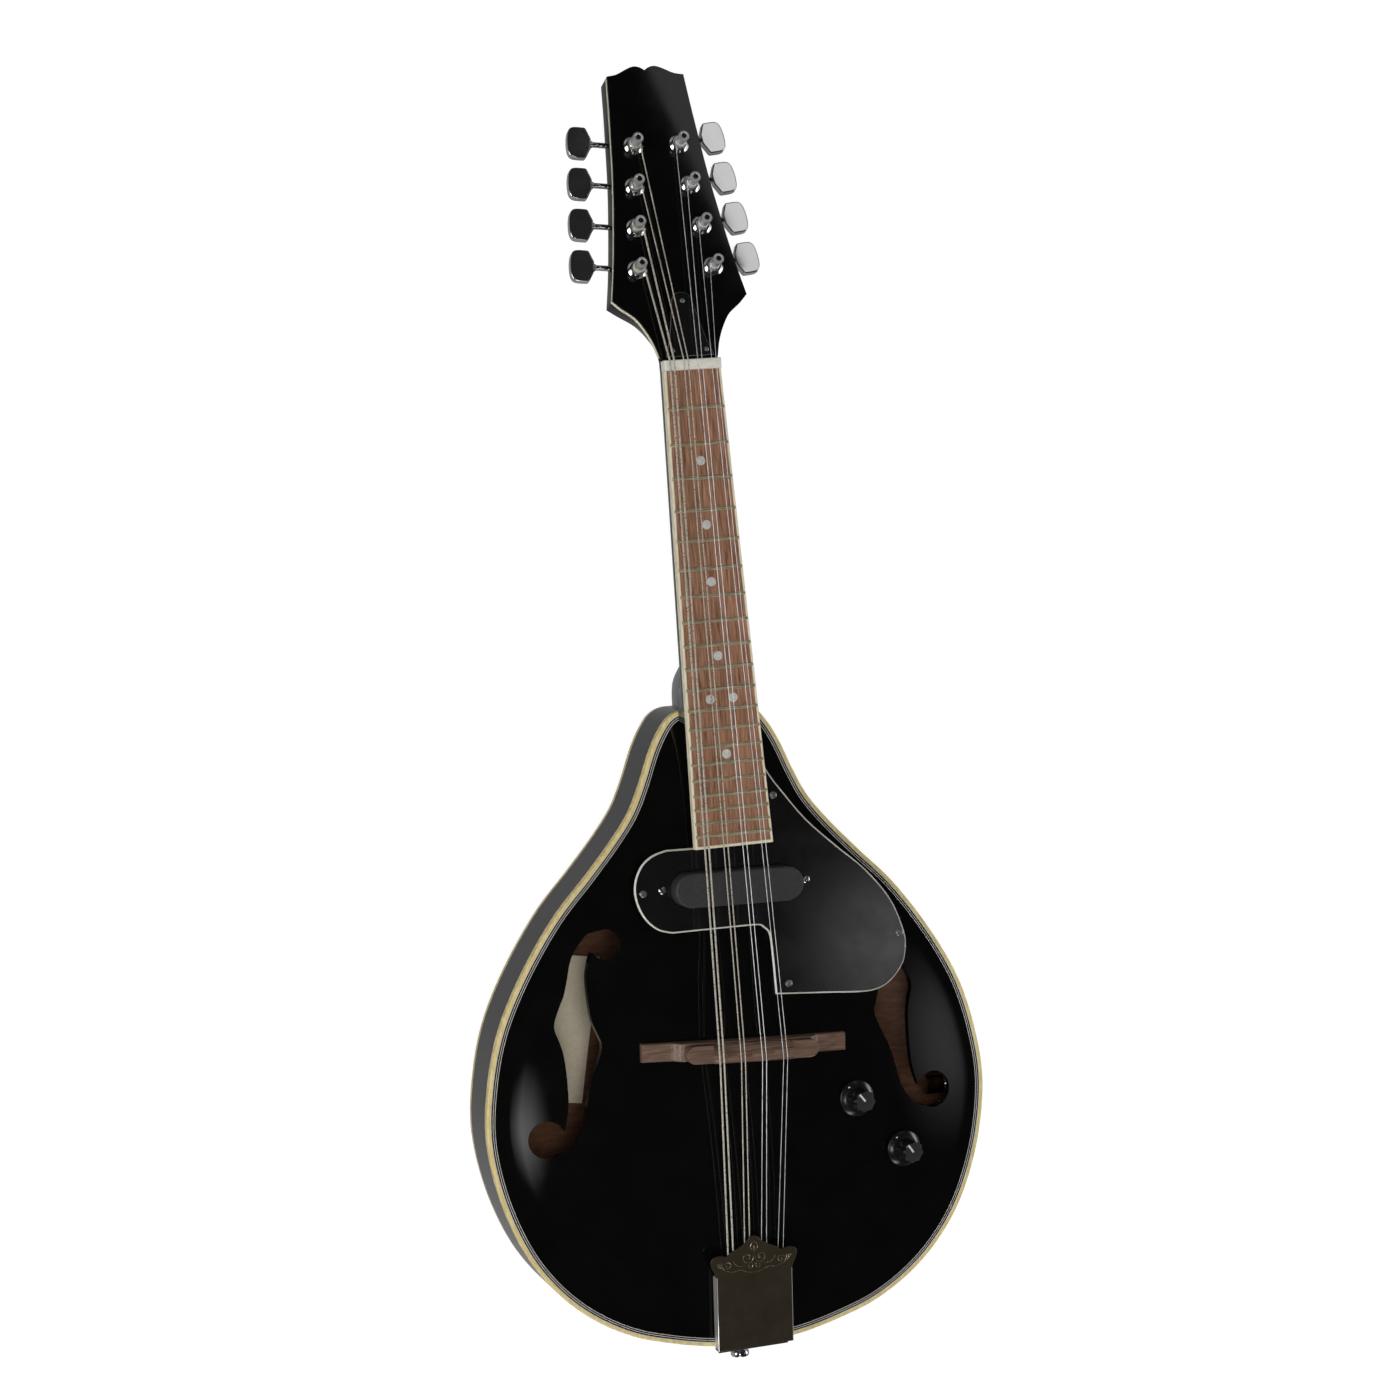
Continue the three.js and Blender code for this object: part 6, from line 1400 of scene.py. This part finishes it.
# %% Guard plate
GUARD_LOW, GUARD_EDGE, GUARD_BEVEL, GUARD_TOP = 11.8, 1.3, 0.85, 14
PICKUP_X, PICKUP_Y, PICKUP_ANGLE = 1.2, 82.6, math.radians(-1.7)
pickup_place = BODY @ Matrix.Translation((PICKUP_X, PICKUP_Y, 0)) @ Matrix.Rotation(PICKUP_ANGLE, 4, "Z")
bm = bmesh.new()
face = flat_face(bm, [(x, y, GUARD_LOW) for x, y in guard_outline])
face = pull(bm, face, Matrix.Translation((0, 0, GUARD_EDGE)))
for item in frame_face(bm, face, GUARD_BEVEL):
    item.material_index = 1
bmesh.ops.translate(bm, vec=(0, 0, 0.7), verts=face.verts[:])
pull(bm, face, Matrix.Translation((0, 0, 0.2)))
guard = make_piece(bm, "layered_guard", [black_plastic, white_line], place=BODY, stands_for=["pickguard"])
bm = bmesh.new()
slab(bm, stadium(25.9, 9.3, 20), 8, 20)
carve(guard, make_tool(bm, black_plastic, pickup_place))

# %% Pillars and screws of the guard
bm = bmesh.new()
for share in GUARD_SCREW_SHARES:
    x, y = on_guard(*share)
    rod(bm, 2.6, top_height(x, y) - 0.2, GUARD_LOW + 0.1, 20, Matrix.Translation((x, y, 0)))
make_piece(bm, "guard_pillars", [black_plastic], place=BODY)
screws("guard_screws", [BODY @ Matrix.Translation((*on_guard(*share), GUARD_TOP))
                        for share in GUARD_SCREW_SHARES], 1.9, dark_screw)

# %% Pickup
CASE_TOP = 23.6
bm = bmesh.new()
slab(bm, stadium(25.7, 9, 24), 10.8, CASE_TOP)
round_edges(bm, 1.3, 4, where=above(CASE_TOP - 0.6))
make_piece(bm, "pickup_case", [grey_resin], place=pickup_place, stands_for=["pickup"])
bm = bmesh.new()
slab(bm, stadium(36.5, 6.5, 16), 9.7, 11.4)
make_piece(bm, "pickup_flange", [nickel], place=pickup_place)
screws("pickup_screws", [pickup_place @ Matrix.Translation((x, 0.3, GUARD_TOP + 0.1))
                         for x in (-39.3, 38.9)], 1.9)

# %% [markdown]
# ## Controls
# Both knobs are black with a wide skirt and a cap of eight scallops. A white line on the cap and a white dot
# on the skirt show the setting. The scallops are a wave in the cap's radius. The flat top has a finish of
# its own: a little rougher than the moulded sides, and painted a lighter grey as a painted sheen.

# %% Rings of the scalloped cap
def knob_ring(radius, depth, z):
    """Points round the cap, with eight scallops of a given depth."""
    points = []
    for k in range(96):
        angle = math.tau * k / 96
        reach = radius - depth * math.sin(angle * 4) ** 2
        points.append((reach * math.cos(angle), reach * math.sin(angle), z))
    return points


CAP_TOP = 13.5
cap_rings = [knob_ring(*values) for values in (
    (6.2, 0.75, 3.6), (6.15, 0.75, 6), (6.0, 0.72, 12.6), (5.8, 0.65, 13.2), (5.4, 0.5, CAP_TOP))]
print(len(cap_rings), "rings in a cap")

# %% Knobs
SKIRT = [(2.7, 1.8), (9.3, 1.8), (9.65, 2.1), (9.65, 2.7), (9.3, 3.2), (7.4, 4.2), (6.3, 4.6), (0, 4.8),
         (0, -8), (2.7, -8), (2.7, 1.8)]
DOT_ON_SKIRT = [(0, 3.2), (0.62, 3.2), (0.62, 4.15), (0, 4.2)]
POINTER_TURN = {"volume": math.radians(126), "tone": math.radians(124)}
for name, place in CONTROLS.items():
    bm = bmesh.new()
    turn_round(bm, SKIRT, 48)
    top = loft(bm, cap_rings)
    # The flat top takes the lighter grey: a painted sheen on the cap.
    top.material_index = 1
    turned = place @ Matrix.Rotation(POINTER_TURN[name], 4, "Z")
    make_piece(bm, f"{name}_scalloped_knob", [skirt_plastic, knob_top_painted_sheen], place=turned, body=f"{name}_knob",
               stands_for=[f"{name}_knob"])
    bm = bmesh.new()
    block(bm, (0.2, -0.5, CAP_TOP - 0.2), (5.3, 0.5, CAP_TOP + 0.15))
    round_edges(bm, 0.12, 1)
    turn_round(bm, DOT_ON_SKIRT, 16, Matrix.Translation((7.9, 0, -0.25)))
    make_piece(bm, f"{name}_pointer", [white_line], place=turned, body=f"{name}_knob")

# %% [markdown]
# ## Pieces that keep their solids
# The blocks, linings, tone bars, truss rod, pots and label have the right shape already, and only glimpses
# of them show through the f-holes. They keep their solids and get a proper finish.

# %% Dress the carried-over solids
DRESSED = {
    "top_lining": spruce, "back_lining": spruce, "bass_tone_bar": spruce, "treble_tone_bar": spruce,
    "neck_block": mahogany, "tail_block": mahogany, "truss_rod": rod_steel, "volume_pot": nickel,
    "tone_pot": nickel, "label": paper,
}
for node, material in DRESSED.items():
    for slot in frame["nodes"][node].material_slots:
        slot.material = material
print(len(DRESSED), "solids dressed")

# %% [markdown]
# ## Floor and light
# The photograph has a white ground and broad soft light. Black lacquer is a mirror, so what it reflects
# decides how black it looks. The floor is grey for the lamps, so that little light comes back from it, white
# where the camera sees it, apart from the shadow, and only a dim share of white for a mirror-like surface.

# %% Floor
FLOOR_WHITE, MIRROR_SHARE = 0.92, 0.15
bm = bmesh.new()
bmesh.ops.create_grid(bm, x_segments=1, y_segments=1, size=6000)
floor = make_piece(bm, "floor", [], place=Matrix.Translation((0, 0, -0.2)), body=None)
ground = bpy.data.materials.new("pale_ground")
ground.use_nodes = True
shader = ground.node_tree.nodes["Principled BSDF"]
shader.inputs["Roughness"].default_value = 0.9
shader.inputs["Specular IOR Level"].default_value = 0.1
shader.inputs["Base Color"].default_value = (0.22, 0.22, 0.225, 1)
shader.inputs["Emission Color"].default_value = (1, 1, 1, 1)
path = add_node(ground, "ShaderNodeLightPath")
by_mirror = add_node(ground, "ShaderNodeMath", {
    0: path.outputs["Is Glossy Ray"], 1: path.outputs["Is Transmission Ray"]}, operation="MAXIMUM")
softened = add_node(ground, "ShaderNodeMath", {0: by_mirror.outputs["Value"], 1: MIRROR_SHARE},
                    operation="MULTIPLY")
seen = add_node(ground, "ShaderNodeMath", {0: path.outputs["Is Camera Ray"], 1: softened.outputs["Value"]},
                operation="MAXIMUM")
lift = add_node(ground, "ShaderNodeMath", {0: seen.outputs["Value"], 1: FLOOR_WHITE}, operation="MULTIPLY")
ground.node_tree.links.new(lift.outputs["Value"], shader.inputs["Emission Strength"])
floor.data.materials.append(ground)
floor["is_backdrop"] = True

# %% World
world = bpy.data.worlds.new("studio")
world.use_nodes = True
world.node_tree.nodes["Background"].inputs["Color"].default_value = (0.02, 0.02, 0.021, 1)
world.node_tree.nodes["Background"].inputs["Strength"].default_value = 1
bpy.context.scene.world = world
print("a nearly dark world")

# %% [markdown]
# Broad panels stand at the sides and at the tail. One more hangs above for the plain light on the wood, and
# mirrors don't see it, so the lacquer under it stays black. Small panels above the bouts, the pickguard and
# the headstock are there only for their reflections. A soft panel fades from its middle, like a lit cloth.

# %% Light panels
def panel(name, place, target, width, height, watts, turn=0, soft=True, in_mirrors=True):
    """A light panel that faces a point; places and sizes are in metres and the turn in degrees."""
    lamp = bpy.data.lights.new(name, "AREA")
    lamp.shape = "RECTANGLE"
    lamp.size, lamp.size_y, lamp.energy = width, height, watts
    if soft:
        lamp.use_nodes = True
        spot = add_node(lamp, "ShaderNodeNewGeometry")
        middle = add_node(lamp, "ShaderNodeVectorMath", {0: spot.outputs["Parametric"], 1: (-0.5, -0.5, 0)},
                          operation="ADD")
        away = add_node(lamp, "ShaderNodeVectorMath", {0: middle.outputs["Vector"]}, operation="LENGTH")
        fade = add_node(lamp, "ShaderNodeMapRange", {
            "Value": away.outputs["Value"], "From Min": 0.05, "From Max": 0.5, "To Min": 2.5, "To Max": 0},
            interpolation_type="SMOOTHSTEP")
        lamp.node_tree.links.new(fade.outputs["Result"], lamp.node_tree.nodes["Emission"].inputs["Strength"])
    holder = bpy.data.objects.new(name, lamp)
    back = (Vector(place) - Vector(target)).normalized()
    across = Vector((0, 1, 0)).cross(back).normalized()
    facing = Matrix((across, back.cross(across), back)).transposed().to_4x4()
    holder.matrix_world = Matrix.Translation(place) @ facing @ Matrix.Rotation(math.radians(turn), 4, "Z")
    holder.visible_glossy = in_mirrors
    bpy.context.scene.collection.objects.link(holder)


panel("treble_panel", (1.8, 0.1, 0.5), (0, 0.1, 0), 0.8, 2.6, 16)
panel("bass_panel", (-1.9, 0.2, 0.8), (0, 0.1, 0), 1.0, 2.4, 26)
panel("glow_panel", (-0.51, -0.36, 1.5), (-0.51, -0.36, 0), 0.5, 0.8, 3.8)
panel("guard_panel", (0.6, -0.17, 1.5), (0.6, -0.17, 0), 0.22, 0.24, 0.12)
panel("side_glow", (1.5, -0.25, 1.5), (1.5, -0.25, 0), 0.9, 1.0, 0.7)
panel("head_panel", (0.759, 1.503, 1.24), (0.759, 1.503, 0), 0.55, 0.36, 0.45, turn=9.5, soft=False)
panel("tail_panel", (-0.3, -1.9, 0.8), (0, 0, 0), 1.8, 0.8, 12)
panel("upper_panel", (-0.35, 0.2, 1.7), (0, 0.05, 0), 0.9, 0.9, 15, in_mirrors=False)
print(len(bpy.data.lights), "panels")

# %% [markdown]
# The small panel over the pickguard should show only in the guard, as a flag in a studio would keep it off
# the varnish. Light linking does that: a collection names the one piece that the panel lights.

# %% Keep one panel to the guard
lit_by_it = bpy.data.collections.new("lit_by_guard_panel")
lit_by_it.objects.link(guard)
bpy.data.objects["guard_panel"].light_linking.receiver_collection = lit_by_it

# %% [markdown]
# ## Finish
# The last step prints the two boxes side by side: the imported model's, and that of everything shown here. The
# finer pieces may not reach past the solids.

# %% Print the boxes and finish
seen_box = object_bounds()
for word, cad, seen in zip(("low", "high"), CAD_BOX, seen_box):
    print(word, [round(value * 1000, 2) for value in cad], [round(value * 1000, 2) for value in seen])
